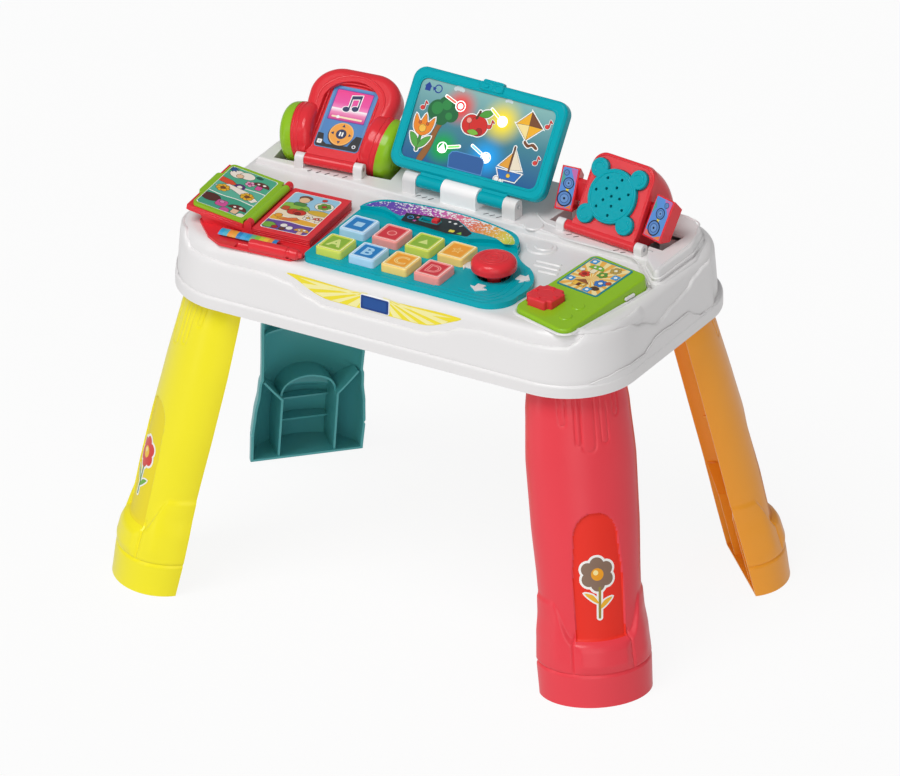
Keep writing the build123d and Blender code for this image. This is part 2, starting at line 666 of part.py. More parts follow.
# Keys: clear caps with a flange that holds them under the panel, and a coloured plate let into each top
KEY_NAMES = {
    "key_letter_a": (0, LETTER_ROW),
    "key_letter_b": (1, LETTER_ROW),
    "key_letter_c": (2, LETTER_ROW),
    "key_letter_d": (3, LETTER_ROW),
    "key_square": (0, SHAPE_ROW),
    "key_circle": (1, SHAPE_ROW),
    "key_triangle": (2, SHAPE_ROW),
    "key_star": (3, SHAPE_ROW),
}
PANEL_UNDERSIDE = KEYBOARD_TOP - 2.0
FLANGE_THICK = 1.4
INLAY_WIDTH = 20.0
INLAY_DEPTH = 23.5
INLAY_SINK = 1.2

for name, (column, row) in KEY_NAMES.items():
    x = KEY_COLUMN + column * KEY_PITCH
    with BuildPart() as key:
        with BuildSketch(Plane.XY.offset(PANEL_UNDERSIDE)):
            with Locations((x, row)):
                RectangleRounded(KEY_WIDTH, KEY_DEPTH, 3.0)
        extrude(amount=KEY_TOP - PANEL_UNDERSIDE)
        fillet(key.faces().sort_by(Axis.Z)[-1].edges(), 1.5)
        with BuildSketch(Plane.XY.offset(PANEL_UNDERSIDE - FLANGE_THICK)):
            with Locations((x, row)):
                RectangleRounded(KEY_WIDTH + 2 * KEY_FLANGE, KEY_DEPTH + 2 * KEY_FLANGE, 3.0)
        extrude(amount=FLANGE_THICK)
        with BuildSketch(Plane.XY.offset(KEY_TOP - INLAY_SINK)):
            with Locations((x, row)):
                RectangleRounded(INLAY_WIDTH, INLAY_DEPTH, 1.0)
        extrude(amount=INLAY_SINK, mode=Mode.SUBTRACT)
    key.part.label = name
    export_step(key.part, f"parts/{name}.step")
    with BuildPart() as inlay:
        with BuildSketch(Plane.XY.offset(KEY_TOP - INLAY_SINK)):
            with Locations((x, row)):
                RectangleRounded(INLAY_WIDTH, INLAY_DEPTH, 1.0)
        extrude(amount=INLAY_SINK - 0.4)
    inlay.part.label = f"{name}_plate"
    export_step(inlay.part, f"parts/{name}_plate.step")


# Switch mat under the keys, and the circuit board that carries it
PAD_TOP = 361.7
BOARD_TOP = 357.5
with BuildPart() as key_mat:
    with BuildSketch(Plane.XY.offset(BOARD_TOP)):
        rectangle(KEY_WINDOW[0] + 1.5, KEY_WINDOW[1] - 1.5, KEY_WINDOW[2] + 1.5, KEY_WINDOW[3] - 1.5)
    extrude(amount=MEMBRANE_TOP - BOARD_TOP)
    with BuildSketch(Plane.XY.offset(MEMBRANE_TOP)):
        for column in range(4):
            for row in (LETTER_ROW, SHAPE_ROW):
                with Locations((KEY_COLUMN + column * KEY_PITCH, row)):
                    Circle(4)
    extrude(amount=PAD_TOP - MEMBRANE_TOP)
key_mat.part.label = "key_mat"
export_step(key_mat.part, "parts/key_mat.step")

with BuildPart() as circuit_board:
    with BuildSketch(Plane.XY.offset(BOARD_TOP - 1.6)):
        rectangle(KEY_WINDOW[0] - 4, KEY_WINDOW[1] + 4, KEY_WINDOW[2] + 1, KEY_WINDOW[3] + 12)
    extrude(amount=1.6)
    with BuildSketch(Plane.XY.offset(BOARD_TOP - 4.6)):
        with Locations((-40, -60), (20, -80)):
            Rectangle(12, 12)
        with Locations((-10, -45)):
            Rectangle(26, 7)
    extrude(amount=3.0)
    with BuildSketch(Plane.XY.offset(BOARD_TOP - 12)):
        with Locations((-60, -90), (45, -50), (45, -62)):
            Circle(3)
    extrude(amount=10.5)
circuit_board.part.label = "circuit_board"
export_step(circuit_board.part, "parts/circuit_board.step")


# Slide switch: a square red knob over the band, its neck and a foot under the slot
with BuildPart() as power_switch:
    with BuildSketch(Plane.XY.offset(BAND_TOP + 0.3)):
        with Locations((SWITCH_X, SWITCH_Y)):
            Rectangle(6, 6.4)
    extrude(amount=3.6)
    fillet(power_switch.faces().sort_by(Axis.Z)[-1].edges(), 0.9)
    with BuildSketch(Plane.XY.offset(BAND_TOP - 4)):
        with Locations((SWITCH_X, SWITCH_Y)):
            Rectangle(4.4, 3.6)
    extrude(amount=4.4)
    with BuildSketch(Plane.XY.offset(BAND_TOP - 4)):
        with Locations((SWITCH_X, SWITCH_Y)):
            Rectangle(9, 8)
    extrude(amount=1.6)
power_switch.part.label = "power_switch"
export_step(power_switch.part, "parts/power_switch.step")


# Joystick on a two-axis gimbal inside the panel's cup
RING_OUTER = 15.2
RING_INNER = 11.4
RING_THICK = 4.4
TRUNNION = 1.5
CAP_RADIUS = 22.0
with BuildPart() as joystick_gimbal:
    with BuildSketch(Plane.XY.offset(PIVOT_HEIGHT - RING_THICK / 2)):
        with Locations((JOYSTICK_X, JOYSTICK_Y)):
            Circle(RING_OUTER)
            Circle(RING_INNER, mode=Mode.SUBTRACT)
    extrude(amount=RING_THICK)
    for side in (-1, 1):
        with BuildSketch(
            Plane(
                origin=(JOYSTICK_X + side * (RING_OUTER - 1), JOYSTICK_Y, PIVOT_HEIGHT),
                x_dir=(0, 1, 0),
                z_dir=(side, 0, 0),
            )
        ):
            Circle(TRUNNION)
        extrude(amount=22 - RING_OUTER)
    with BuildSketch(Plane(origin=(JOYSTICK_X, JOYSTICK_Y - 20, PIVOT_HEIGHT), x_dir=(1, 0, 0), z_dir=(0, 1, 0))):
        Circle(TRUNNION + RUNNING)
    extrude(amount=40, mode=Mode.SUBTRACT)
joystick_gimbal.part.label = "joystick_gimbal"
export_step(joystick_gimbal.part, "parts/joystick_gimbal.step")

with BuildPart() as joystick:
    with Locations((JOYSTICK_X, JOYSTICK_Y, 0)):
        for radius, z0, z1 in ((6.5, 356, 372), (13.0, 370, 378), (CAP_RADIUS, 375, 387)):
            with Locations((0, 0, z0)):
                Cylinder(radius, z1 - z0, align=(Align.CENTER, Align.CENTER, Align.MIN))
    rims = joystick.edges().filter_by(GeomType.CIRCLE)
    fillet(rims.sort_by(Axis.Z)[-1], 7)
    fillet(joystick.edges().filter_by(lambda e: e.length > 6.2 * CAP_RADIUS - 2).sort_by(Axis.Z)[0], 1.5)
    with BuildSketch(Plane(origin=(JOYSTICK_X, JOYSTICK_Y - 14.8, PIVOT_HEIGHT), x_dir=(1, 0, 0), z_dir=(0, 1, 0))):
        Circle(TRUNNION)
    extrude(amount=29.6)
joystick.part.label = "joystick"
export_step(joystick.part, "parts/joystick.step")


# Book: a red tray with a fixed stack of pages on the right, a fixed cover on the left and a leaf that turns
BOOK_HALF = 45.0
STACK_LEFT = 5.2
STACK_RIGHT = 65.0
STACK_TOP = PAGE_AXIS - PAGE_THICK / 2 - 0.2
COVER_OUT = 63.5
COVER_THICK = 6.0
BED_TOP = 7.4
KNUCKLE = 4.0
KNUCKLE_IN = 37.6
BARREL = 3.8
BOOK_PIN = 1.5
PEN_RADIUS = 5.8
PEN_START = 15.0
PEN_Y = -69.5
PEN_Z = 6.0
LEAN = radians(PAGE_LEAN)


def book_slice(y):
    """Upright plane across the spine: its X runs to the right, its Y up."""
    return within(BOOK, (0, y, 0), (1, 0, 0), (0, -1, 0))


def cover_top(x):
    return PAGE_AXIS + x * tan(LEAN) - (PAGE_THICK / 2 + 0.25) / cos(LEAN)


with BuildPart() as book_base:
    with BuildSketch(BOOK):
        with BuildLine():
            FilletPolyline(
                [(-50, 42), (-54, -38), (-32, -64), (-16, -74), (60, -74), (68, -64), (66, 45)],
                radius=6,
                close=True,
            )
        make_face()
    extrude(amount=2.4)
    with BuildSketch(BOOK):
        rectangle(-6, STACK_LEFT + 1, -BOOK_HALF, BOOK_HALF)
    extrude(amount=BED_TOP)
    with BuildSketch(BOOK):
        rectangle(STACK_LEFT, STACK_RIGHT, -BOOK_HALF, BOOK_HALF)
    extrude(amount=STACK_TOP)
    with BuildSketch(book_slice(BOOK_HALF)):
        with BuildLine():
            Polyline(
                (-5.2, BED_TOP - 3),
                (-5.2, cover_top(5.2)),
                (-COVER_OUT, cover_top(COVER_OUT)),
                (-COVER_OUT - 0.9, cover_top(COVER_OUT) - COVER_THICK + 1),
                (-COVER_OUT + 1.5, cover_top(COVER_OUT) - COVER_THICK),
                close=True,
            )
        make_face()
    extrude(amount=2 * BOOK_HALF)
    with BuildSketch(book_slice(BOOK_HALF - 3)):
        with BuildLine():
            Polyline(
                (-5, 0), (-46, 0), (-52, cover_top(52) - COVER_THICK + 0.5), (-5, BED_TOP - 2), close=True
            )
        make_face()
    extrude(amount=2 * BOOK_HALF - 6)
    # page edges: fine grooves round three sides of the right-hand stack
    for level in (4.2, 6.2, 8.2):
        with BuildSketch(BOOK.offset(level)):
            rectangle(STACK_LEFT, STACK_RIGHT + 2, -BOOK_HALF - 2, BOOK_HALF + 2)
            rectangle(STACK_LEFT - 1, STACK_RIGHT - 0.7, -BOOK_HALF + 0.7, BOOK_HALF - 0.7, mode=Mode.SUBTRACT)
        extrude(amount=0.6, mode=Mode.SUBTRACT)
    # knuckles at both ends of the spine
    for y0 in (BOOK_HALF, -KNUCKLE_IN):
        with BuildSketch(book_slice(y0)):
            with Locations((0, PAGE_AXIS)):
                Circle(KNUCKLE)
            rectangle(-KNUCKLE, KNUCKLE, 1, PAGE_AXIS)
        extrude(amount=BOOK_HALF - KNUCKLE_IN)
    with BuildSketch(book_slice(BOOK_HALF - 2)):
        with Locations((0, PAGE_AXIS)):
            Circle(BOOK_PIN + RUNNING)
    extrude(amount=2 * BOOK_HALF - 4, mode=Mode.SUBTRACT)
    # trough for the pen
    with BuildSketch(within(BOOK, (0, PEN_Y, PEN_Z), (0, 1, 0), (1, 0, 0))):
        Circle(PEN_RADIUS + 0.1)
    extrude(amount=80, mode=Mode.SUBTRACT)
book_base.part.label = "book_base"
export_step(book_base.part, "parts/book_base.step")

with BuildPart() as book_pin:
    with BuildSketch(book_slice(BOOK_HALF - 2.2)):
        with Locations((0, PAGE_AXIS)):
            Circle(BOOK_PIN)
    extrude(amount=2 * BOOK_HALF - 4.4)
book_pin.part.label = "book_pin"
export_step(book_pin.part, "parts/book_pin.step")

LEAF = within(BOOK, (0, 0, PAGE_AXIS), (-cos(LEAN), 0, sin(LEAN)), (sin(LEAN), 0, cos(LEAN)))
with BuildPart() as book_page:
    with BuildSketch(LEAF.offset(-PAGE_THICK / 2)):
        rectangle(5.4, 12, -43.5, 43.5)
        rectangle(0, 6, -KNUCKLE_IN + 0.4, KNUCKLE_IN - 0.4)
        with Locations((33, 0)):
            RectangleRounded(54, 87, 5)
        with Locations((60, 0)):
            RectangleRounded(9, 42, 3.5)
    extrude(amount=PAGE_THICK)
    with BuildSketch(book_slice(KNUCKLE_IN - 0.4)):
        with Locations((0, PAGE_AXIS)):
            Circle(BARREL)
    extrude(amount=2 * KNUCKLE_IN - 0.8)
    with BuildSketch(book_slice(KNUCKLE_IN)):
        with Locations((0, PAGE_AXIS)):
            Circle(BOOK_PIN + RUNNING)
    extrude(amount=2 * KNUCKLE_IN, mode=Mode.SUBTRACT)
book_page.part.label = "book_page"
export_step(book_page.part, "parts/book_page.step")

with BuildPart() as book_pen:
    pen_axis = within(BOOK, (PEN_START, PEN_Y, PEN_Z), (0, 0, 1), (0, -1, 0))
    with BuildSketch(pen_axis):
        with BuildLine():
            Polyline(
                (0, 0),
                (PEN_RADIUS - 0.8, 0),
                (PEN_RADIUS, -0.8),
                (PEN_RADIUS, -39),
                (PEN_RADIUS - 1, -40),
                (PEN_RADIUS - 1, -42),
                (PEN_RADIUS - 0.2, -43),
                (PEN_RADIUS - 0.8, -50),
                (3, -52),
                (2.2, -55),
                (0, -55),
                close=True,
            )
        make_face()
    revolve(axis=Axis(pen_axis.origin, pen_axis.y_dir))
book_pen.part.label = "book_pen"
export_step(book_pen.part, "parts/book_pen.step")


# Game console: a green wedge, low in front, with a direction pad and a picture sunk into its sloping face
PAD_SPAN = 31.0
PAD_ARM = 21.5
PAD_GAP = 0.5
PAD_STROKE = 2.0
CONSOLE_FRONT = -60.0
CONSOLE_LOW = 4.5
CONSOLE_SLOPE = 4.4
CONSOLE_SKIN = 2.6
SCREEN_SINK = 0.8
SCREEN_X = -5.4
SCREEN_Y = 31.0
SCREEN_WIDTH = 49.0
SCREEN_DEPTH = 57.5
slope = radians(CONSOLE_SLOPE)
CONSOLE_FACE = within(CONSOLE, (0, CONSOLE_FRONT, CONSOLE_LOW), (1, 0, 0), (0, -sin(slope), cos(slope)))


def console_outline(inset=0.0):
    with BuildLine() as line:
        FilletPolyline([(-37, -54), (35, -64), (36, 63), (-34, 66)], radius=[12, 10, 10, 9], close=True)
    make_face(line.edges())
    if inset:
        offset(amount=-inset, mode=Mode.REPLACE)


with BuildPart() as console_shell:
    with BuildSketch(CONSOLE):
        console_outline()
    extrude(amount=22, taper=5)
    with BuildSketch(CONSOLE_FACE):
        rectangle(-80, 80, -60, 200)
    extrude(amount=40, mode=Mode.SUBTRACT)
    fillet(
        console_shell.faces().filter_by(lambda f: f.normal_at().dot(CONSOLE_FACE.z_dir) > 0.999).edges(), 2.2
    )
    with BuildPart(mode=Mode.SUBTRACT) as console_hollow:
        with BuildSketch(CONSOLE):
            console_outline(4.5)
        extrude(amount=22)
        with BuildSketch(CONSOLE_FACE.offset(-CONSOLE_SKIN)):
            rectangle(-80, 80, -60, 200)
        extrude(amount=40, mode=Mode.SUBTRACT)
    with BuildSketch(CONSOLE_FACE.offset(-SCREEN_SINK)):
        with Locations((SCREEN_X, SCREEN_Y - CONSOLE_FRONT)):
            RectangleRounded(SCREEN_WIDTH, SCREEN_DEPTH, 3)
    extrude(amount=4, mode=Mode.SUBTRACT)
    with BuildSketch(CONSOLE) as cross:
        with Locations((PAD_X, PAD_Y)):
            Rectangle(PAD_SPAN + 2 * PAD_GAP, PAD_ARM + 2 * PAD_GAP)
            Rectangle(PAD_ARM + 2 * PAD_GAP, PAD_SPAN + 2 * PAD_GAP)
        fillet(cross.vertices(), 2)
    extrude(amount=20, mode=Mode.SUBTRACT)
console_shell.part.label = "console_shell"
export_step(console_shell.part, "parts/console_shell.step")

with BuildPart() as console_screen:
    with BuildSketch(CONSOLE_FACE.offset(-SCREEN_SINK)):
        with Locations((SCREEN_X, SCREEN_Y - CONSOLE_FRONT)):
            RectangleRounded(SCREEN_WIDTH - 0.4, SCREEN_DEPTH - 0.4, 2.8)
    extrude(amount=SCREEN_SINK + 0.3)
console_screen.part.label = "console_screen"
export_step(console_screen.part, "parts/console_screen.step")

PAD_LOW = PAD_STROKE + 0.6
PAD_HIGH = 14.6
with BuildPart() as console_pad:
    with BuildSketch(CONSOLE.offset(PAD_LOW)) as cross:
        with Locations((PAD_X, PAD_Y)):
            Rectangle(PAD_SPAN, PAD_ARM)
            Rectangle(PAD_ARM, PAD_SPAN)
        fillet(cross.vertices(), 2)
    extrude(amount=PAD_HIGH - PAD_LOW)
    fillet(console_pad.faces().sort_by(Axis.Z)[-1].edges(), 1.6)
    with BuildSketch(CONSOLE.offset(PAD_HIGH - 1)):
        with Locations((PAD_X, PAD_Y)):
            with PolarLocations(11.5, 4):
                Circle(2.4)
    extrude(amount=2.1, taper=15)
    # foot that reaches through the deck's hole and stops under it
    with BuildSketch(CONSOLE.offset(-2.6)):
        with Locations((PAD_X, PAD_Y)):
            Circle(6)
    extrude(amount=PAD_LOW + 3.6)
console_pad.part.label = "console_pad"
export_step(console_pad.part, "parts/console_pad.step")


# Hinge pins of the three upright devices
def hinge_pin(frame, half, name):
    with BuildPart() as pin:
        with BuildSketch(across(frame, -half)):
            Circle(PIN_RADIUS)
        extrude(amount=2 * half)
    pin.part.label = name
    export_step(pin.part, f"parts/{name}.step")


hinge_pin(PLAYER, PLAYER_POST + POST_WIDTH / 2, "player_hinge_pin")
hinge_pin(TABLET, TABLET_POST + TABLET_POST_WIDTH / 2 - 1, "tablet_hinge_pin")
hinge_pin(SPEAKER, SPEAKER_POST + POST_WIDTH / 2, "speaker_hinge_pin")


# Music player: red casing with a broad arched headband, its rear shell, two green ear cups and a picture plate
CASE_HALF = 34.0
CASE_SHOULDER = 44.5
CASE_WAIST = 32.0
CASE_HEIGHT = 100.5
BAND_FRONT = 6.0
BAND_ROUND = 9.0
FACE_FRONT = 0.6
CASE_SPLIT = -9.0
CASE_BACK = -20.0
CASE_BOTTOM = 6.4
PLAYER_BARREL = 25.2
BARREL_RADIUS = 5.3
CHEEK_RADIUS = 29.4
CHEEK_THICK = 18.5
CHEEK_ROUND = 7.0
EAR_X = 42.7
EAR_Y = 35.5
EAR_Z = 6.5
EAR_RADIUS = 30.0
EAR_WIDTH = 14.0
EAR_FLARE = 10.0
PICTURE_WIDTH = 46.0
PICTURE_HEIGHT = 67.0
PICTURE_MIDDLE = 48.0


def case_outline(inset=0.0):
    """Casing seen square on: straight below, then swelling into the headband's arch."""
    right = [
        (CASE_HALF, CASE_BOTTOM),
        (CASE_HALF, CASE_WAIST),
        (CASE_SHOULDER, 58),
        (CASE_SHOULDER + 2, 84),
        (27, CASE_HEIGHT),
    ]
    left = [(-x, y) for x, y in reversed(right)]
    bends = [3, 22, 32, 27, 31]
    with BuildLine() as line:
        FilletPolyline(right + left, radius=bends + bends[::-1], close=True)
    make_face(line.edges())
    if inset:
        offset(amount=-inset, mode=Mode.REPLACE)


def arch(half, bottom, top, crown):
    """Arched outline: straight sides and a flat elliptical crown."""
    rectangle(-half, half, bottom, top - crown)
    with Locations((0, top - crown)):
        Ellipse(half, crown)


def disc(frame, x0, x1, y, z, radius, mode=Mode.ADD):
    with BuildSketch(across(frame, x0, y, z)) as profile:
        Circle(radius)
    extrude(profile.sketch, amount=x1 - x0, mode=mode)


def ear_plane(side):
    """Plane where an ear cup meets its cheek: both lean outwards at the top."""
    flare = radians(EAR_FLARE)
    return within(PLAYER, (side * EAR_X, EAR_Y, EAR_Z), (0, side, 0), (side * cos(flare), 0, -sin(flare)))


def cheeks(radius, thickness, mode=Mode.ADD, rounding=0.0):
    for side in (-1, 1):
        with BuildPart(mode=Mode.PRIVATE) as cheek:
            with BuildSketch(ear_plane(side)) as profile:
                Circle(radius)
            extrude(profile.sketch, amount=-thickness)
            if rounding:
                rims = cheek.edges().filter_by(GeomType.CIRCLE)
                fillet(rims.sort_by(lambda e: (e.arc_center - ear_plane(side).origin).length)[-1], rounding)
        add(cheek.part, mode=mode)


with BuildPart() as player_front:
    with BuildSketch(PLAYER_FACE.offset(CASE_SPLIT)):
        case_outline()
    extrude(amount=BAND_FRONT - CASE_SPLIT)
    fillet(
        player_front.faces().filter_by(lambda f: f.normal_at().dot(PLAYER_FACE.z_dir) > 0.99).edges(), BAND_ROUND
    )
    with BuildSketch(PLAYER_FACE.offset(FACE_FRONT)):
        arch(28, -9, 86, 22)
    extrude(amount=60, mode=Mode.SUBTRACT)
    # hollow behind the face
    with BuildSketch(PLAYER_FACE.offset(CASE_SPLIT)):
        case_outline(3)
    extrude(amount=FACE_FRONT - CASE_SPLIT - 3.0, mode=Mode.SUBTRACT)
    with BuildSketch(PLAYER_FACE.offset(FACE_FRONT - 0.8)):
        with Locations((0, PICTURE_MIDDLE)):
            RectangleRounded(PICTURE_WIDTH, PICTURE_HEIGHT, 4)
    extrude(amount=2, mode=Mode.SUBTRACT)
    cheeks(CHEEK_RADIUS, CHEEK_THICK, rounding=CHEEK_ROUND)
    cheeks(CHEEK_RADIUS - 3, CHEEK_THICK - 4.5, Mode.SUBTRACT)
    disc(PLAYER, -PLAYER_BARREL, PLAYER_BARREL, 0, 0, BARREL_RADIUS)
    with BuildSketch(PLAYER_FACE.offset(-3)):
        rectangle(-PLAYER_BARREL, PLAYER_BARREL, 0, CASE_BOTTOM + 3)
    extrude(amount=6)
    pin_hole(PLAYER, -PLAYER_POST, PLAYER_POST)
player_front.part.label = "player_front"
export_step(player_front.part, "parts/player_front.step")

with BuildPart() as player_back:
    with BuildSketch(PLAYER_FACE.offset(CASE_BACK)):
        case_outline()
    extrude(amount=CASE_SPLIT - CASE_BACK)
    fillet(player_back.faces().filter_by(lambda f: f.normal_at().dot(PLAYER_FACE.z_dir) < -0.99).edges(), 7)
    with BuildSketch(PLAYER_FACE.offset(CASE_BACK + 2.2)):
        case_outline(3)
    extrude(amount=CASE_SPLIT - CASE_BACK, mode=Mode.SUBTRACT)
    # the cheeks pass on either side
    cheeks(CHEEK_RADIUS + 0.1, CHEEK_THICK + 0.1, Mode.SUBTRACT)
player_back.part.label = "player_back"
export_step(player_back.part, "parts/player_back.step")

with BuildPart() as player_picture:
    with BuildSketch(PLAYER_FACE.offset(FACE_FRONT - 0.8)):
        with Locations((0, PICTURE_MIDDLE)):
            RectangleRounded(PICTURE_WIDTH - 0.4, PICTURE_HEIGHT - 0.4, 3.8)
    extrude(amount=1.0)
player_picture.part.label = "player_picture"
export_step(player_picture.part, "parts/player_picture.step")

for name, side in {"ear_cup_left": -1, "ear_cup_right": 1}.items():
    with BuildPart() as cup:
        with BuildSketch(ear_plane(side)):
            Circle(EAR_RADIUS)
        extrude(amount=EAR_WIDTH)
        rims = cup.edges().filter_by(GeomType.CIRCLE)
        fillet(rims.sort_by(lambda e: (e.arc_center - ear_plane(side).origin).length)[-1], 9)
    cup.part.label = name
    export_step(cup.part, f"parts/{name}.step")


# Tablet: teal frame, rear shell, tinted window, and the lamp board behind it
TABLET_BARREL_IN = 19.6
TABLET_BARREL_OUT = 47.2
SCREEN_MARGIN = 10.5
LENS_THICK = 1.6
FRAME_BACK = TABLET_FACE - 7.5
WEB_THICK = 5.8
SHELL_BACK = TABLET_FACE - TABLET_THICK


def tablet_outline(inset, corner):
    with Locations((0, TABLET_EDGE + TABLET_HEIGHT / 2)):
        RectangleRounded(TABLET_WIDTH - 2 * inset, TABLET_HEIGHT - 2 * inset, corner)


with BuildPart() as tablet_frame:
    with BuildSketch(TABLET_SCREEN.offset(FRAME_BACK)):
        tablet_outline(0, 13)
    extrude(amount=TABLET_FACE - FRAME_BACK)
    fillet(
        tablet_frame.faces().filter_by(lambda f: f.normal_at().dot(TABLET_SCREEN.z_dir) > 0.99).edges(), 3.2
    )
    with BuildSketch(TABLET_SCREEN.offset(TABLET_FACE - 1.6 - LENS_THICK)):
        tablet_outline(SCREEN_MARGIN, 7)
    extrude(amount=8, mode=Mode.SUBTRACT)
    with BuildSketch(TABLET_SCREEN.offset(FRAME_BACK - 1)):
        tablet_outline(SCREEN_MARGIN + 3, 5)
    extrude(amount=12, mode=Mode.SUBTRACT)
    # catch in the middle of the top edge
    with BuildSketch(TABLET_SCREEN.offset(FRAME_BACK + 1)):
        with Locations((0, TABLET_EDGE + TABLET_HEIGHT)):
            RectangleRounded(22, 5, 2)
    extrude(amount=TABLET_FACE - FRAME_BACK - 1.6)
    # two hinge barrels with the webs that carry the frame
    for side in (-1, 1):
        x0, x1 = sorted((side * TABLET_BARREL_IN, side * TABLET_BARREL_OUT))
        with BuildSketch(across(TABLET, x0)):
            Circle(6)
        extrude(amount=x1 - x0)
        with BuildSketch(TABLET_SCREEN.offset(FRAME_BACK)):
            rectangle(x0, x1, 0, TABLET_EDGE + 1.5)
        extrude(amount=WEB_THICK)
    pin_hole(TABLET, -60, 60)
tablet_frame.part.label = "tablet_frame"
export_step(tablet_frame.part, "parts/tablet_frame.step")

with BuildPart() as tablet_back:
    with BuildSketch(TABLET_SCREEN.offset(SHELL_BACK)):
        tablet_outline(0.4, 12.6)
    extrude(amount=FRAME_BACK - SHELL_BACK)
    fillet(
        tablet_back.faces().filter_by(lambda f: f.normal_at().dot(TABLET_SCREEN.z_dir) < -0.99).edges(), 3.2
    )
    with BuildSketch(TABLET_SCREEN.offset(SHELL_BACK + 2)):
        tablet_outline(3, 8)
    extrude(amount=TABLET_THICK, mode=Mode.SUBTRACT)
tablet_back.part.label = "tablet_back"
export_step(tablet_back.part, "parts/tablet_back.step")

with BuildPart() as tablet_window:
    with BuildSketch(TABLET_SCREEN.offset(TABLET_FACE - 1.6 - LENS_THICK)):
        tablet_outline(SCREEN_MARGIN + 0.2, 6.8)
    extrude(amount=LENS_THICK)
tablet_window.part.label = "tablet_window"
export_step(tablet_window.part, "parts/tablet_window.step")

LAMPS = [(-30, 76), (28, 72), (-46, 38), (14, 34), (50, 44)]
with BuildPart() as tablet_lamps:
    with BuildSketch(TABLET_SCREEN.offset(SHELL_BACK + 2)):
        rectangle(-66, 66, TABLET_EDGE + 18, TABLET_EDGE + 80)
    extrude(amount=1.6)
    with BuildSketch(TABLET_SCREEN.offset(SHELL_BACK + 3.6)):
        with Locations(*LAMPS):
            Circle(2.5)
    extrude(amount=3.5)
tablet_lamps.part.label = "tablet_lamps"
export_step(tablet_lamps.part, "parts/tablet_lamps.step")

# White cover over the middle of the tablet's hinge
with BuildPart() as tablet_hinge_cover:
    half = TABLET_BARREL_IN - 0.4
    with BuildSketch(across(TABLET, -half)):
        Circle(8.2)
        rectangle(-8.2, 8.2, PLATFORM_HEIGHT - TABLET_HINGE, 0)
    extrude(amount=2 * half)
    pin_hole(TABLET, -half, half)
tablet_hinge_cover.part.label = "tablet_hinge_cover"
export_step(tablet_hinge_cover.part, "parts/tablet_hinge_cover.step")


# Loudspeaker: a front plate, a round-backed shell that turns into its slot, two side boxes and a teal grille
FRONT_FACE = 3.0
FRONT_BACK = -4.0
SPEAKER_TOP = 76.5
FACE_LEFT = -33.5
FACE_RIGHT = 38.5
SPEAKER_CORNER = 14.0
SPEAKER_BARREL = 40.2
SPEAKER_BARREL_RADIUS = 5.2
GRILLE_X = 1.0
GRILLE_Y = 38.5
GRILLE_RADIUS = 26.5
LOBE_RADIUS = 9.4
LOBE_AT = 32.0
GRILLE_GAP = 0.5
GRILLE_STROKE = 1.6
SHELL_WALL = 2.2
SHELL_FRONT = 11.8
SHELL_LEFT = -33.5
SHELL_RIGHT = 36.0
SHELL_ROUND = 12.0


def grille_outline(grow=0.0):
    with Locations((GRILLE_X, GRILLE_Y)):
        Circle(GRILLE_RADIUS + grow)
        with PolarLocations(LOBE_AT, 4, start_angle=45):
            Circle(LOBE_RADIUS + grow)


def speaker_outline(bottom):
    with BuildLine() as line:
        FilletPolyline(
            [(FACE_LEFT, bottom), (FACE_RIGHT, bottom), (FACE_RIGHT, SPEAKER_TOP), (FACE_LEFT, SPEAKER_TOP)],
            radius=[0.8, 0.8, SPEAKER_CORNER, SPEAKER_CORNER],
            close=True,
        )
    make_face(line.edges())


with BuildPart() as speaker_front:
    with BuildSketch(SPEAKER_FACE.offset(FRONT_BACK)):
        speaker_outline(6.0)
    extrude(amount=FRONT_FACE - FRONT_BACK)
    fillet(
        speaker_front.faces().filter_by(lambda f: f.normal_at().dot(SPEAKER_FACE.z_dir) > 0.999).edges(), 1.5
    )
    disc(SPEAKER, -SPEAKER_BARREL, SPEAKER_BARREL, 0, 0, SPEAKER_BARREL_RADIUS)
    with BuildSketch(SPEAKER_FACE.offset(FRONT_BACK)):
        rectangle(FACE_LEFT, FACE_RIGHT, 0, 8)
    extrude(amount=FRONT_FACE - FRONT_BACK + 1)
    with BuildSketch(SPEAKER_FACE.offset(FRONT_FACE - 3.2)):
        grille_outline(GRILLE_GAP)
    extrude(amount=8, mode=Mode.SUBTRACT)
    with BuildSketch(SPEAKER_FACE.offset(FRONT_BACK)):
        with Locations((GRILLE_X, GRILLE_Y)):
            Circle(20)
    extrude(amount=8, mode=Mode.SUBTRACT)
    pin_hole(SPEAKER, -SPEAKER_BARREL, SPEAKER_BARREL)
speaker_front.part.label = "speaker_front"
export_step(speaker_front.part, "parts/speaker_front.step")

with BuildPart() as speaker_grille:
    with BuildSketch(SPEAKER_FACE.offset(FRONT_FACE - 3.2 + GRILLE_STROKE + 0.2)):
        grille_outline()
    extrude(amount=5.6)
    fillet(
        speaker_grille.faces().filter_by(lambda f: f.normal_at().dot(SPEAKER_FACE.z_dir) > 0.99).edges(), 1.2
    )
    with BuildSketch(SPEAKER_FACE.offset(-2)):
        with Locations((GRILLE_X, GRILLE_Y)):
            Circle(1.5)
            with PolarLocations(9.5, 5):
                Circle(1.5)
            with PolarLocations(18.5, 7, start_angle=20):
                Circle(1.5)
    extrude(amount=14, mode=Mode.SUBTRACT)
speaker_grille.part.label = "speaker_grille"
export_step(speaker_grille.part, "parts/speaker_grille.step")


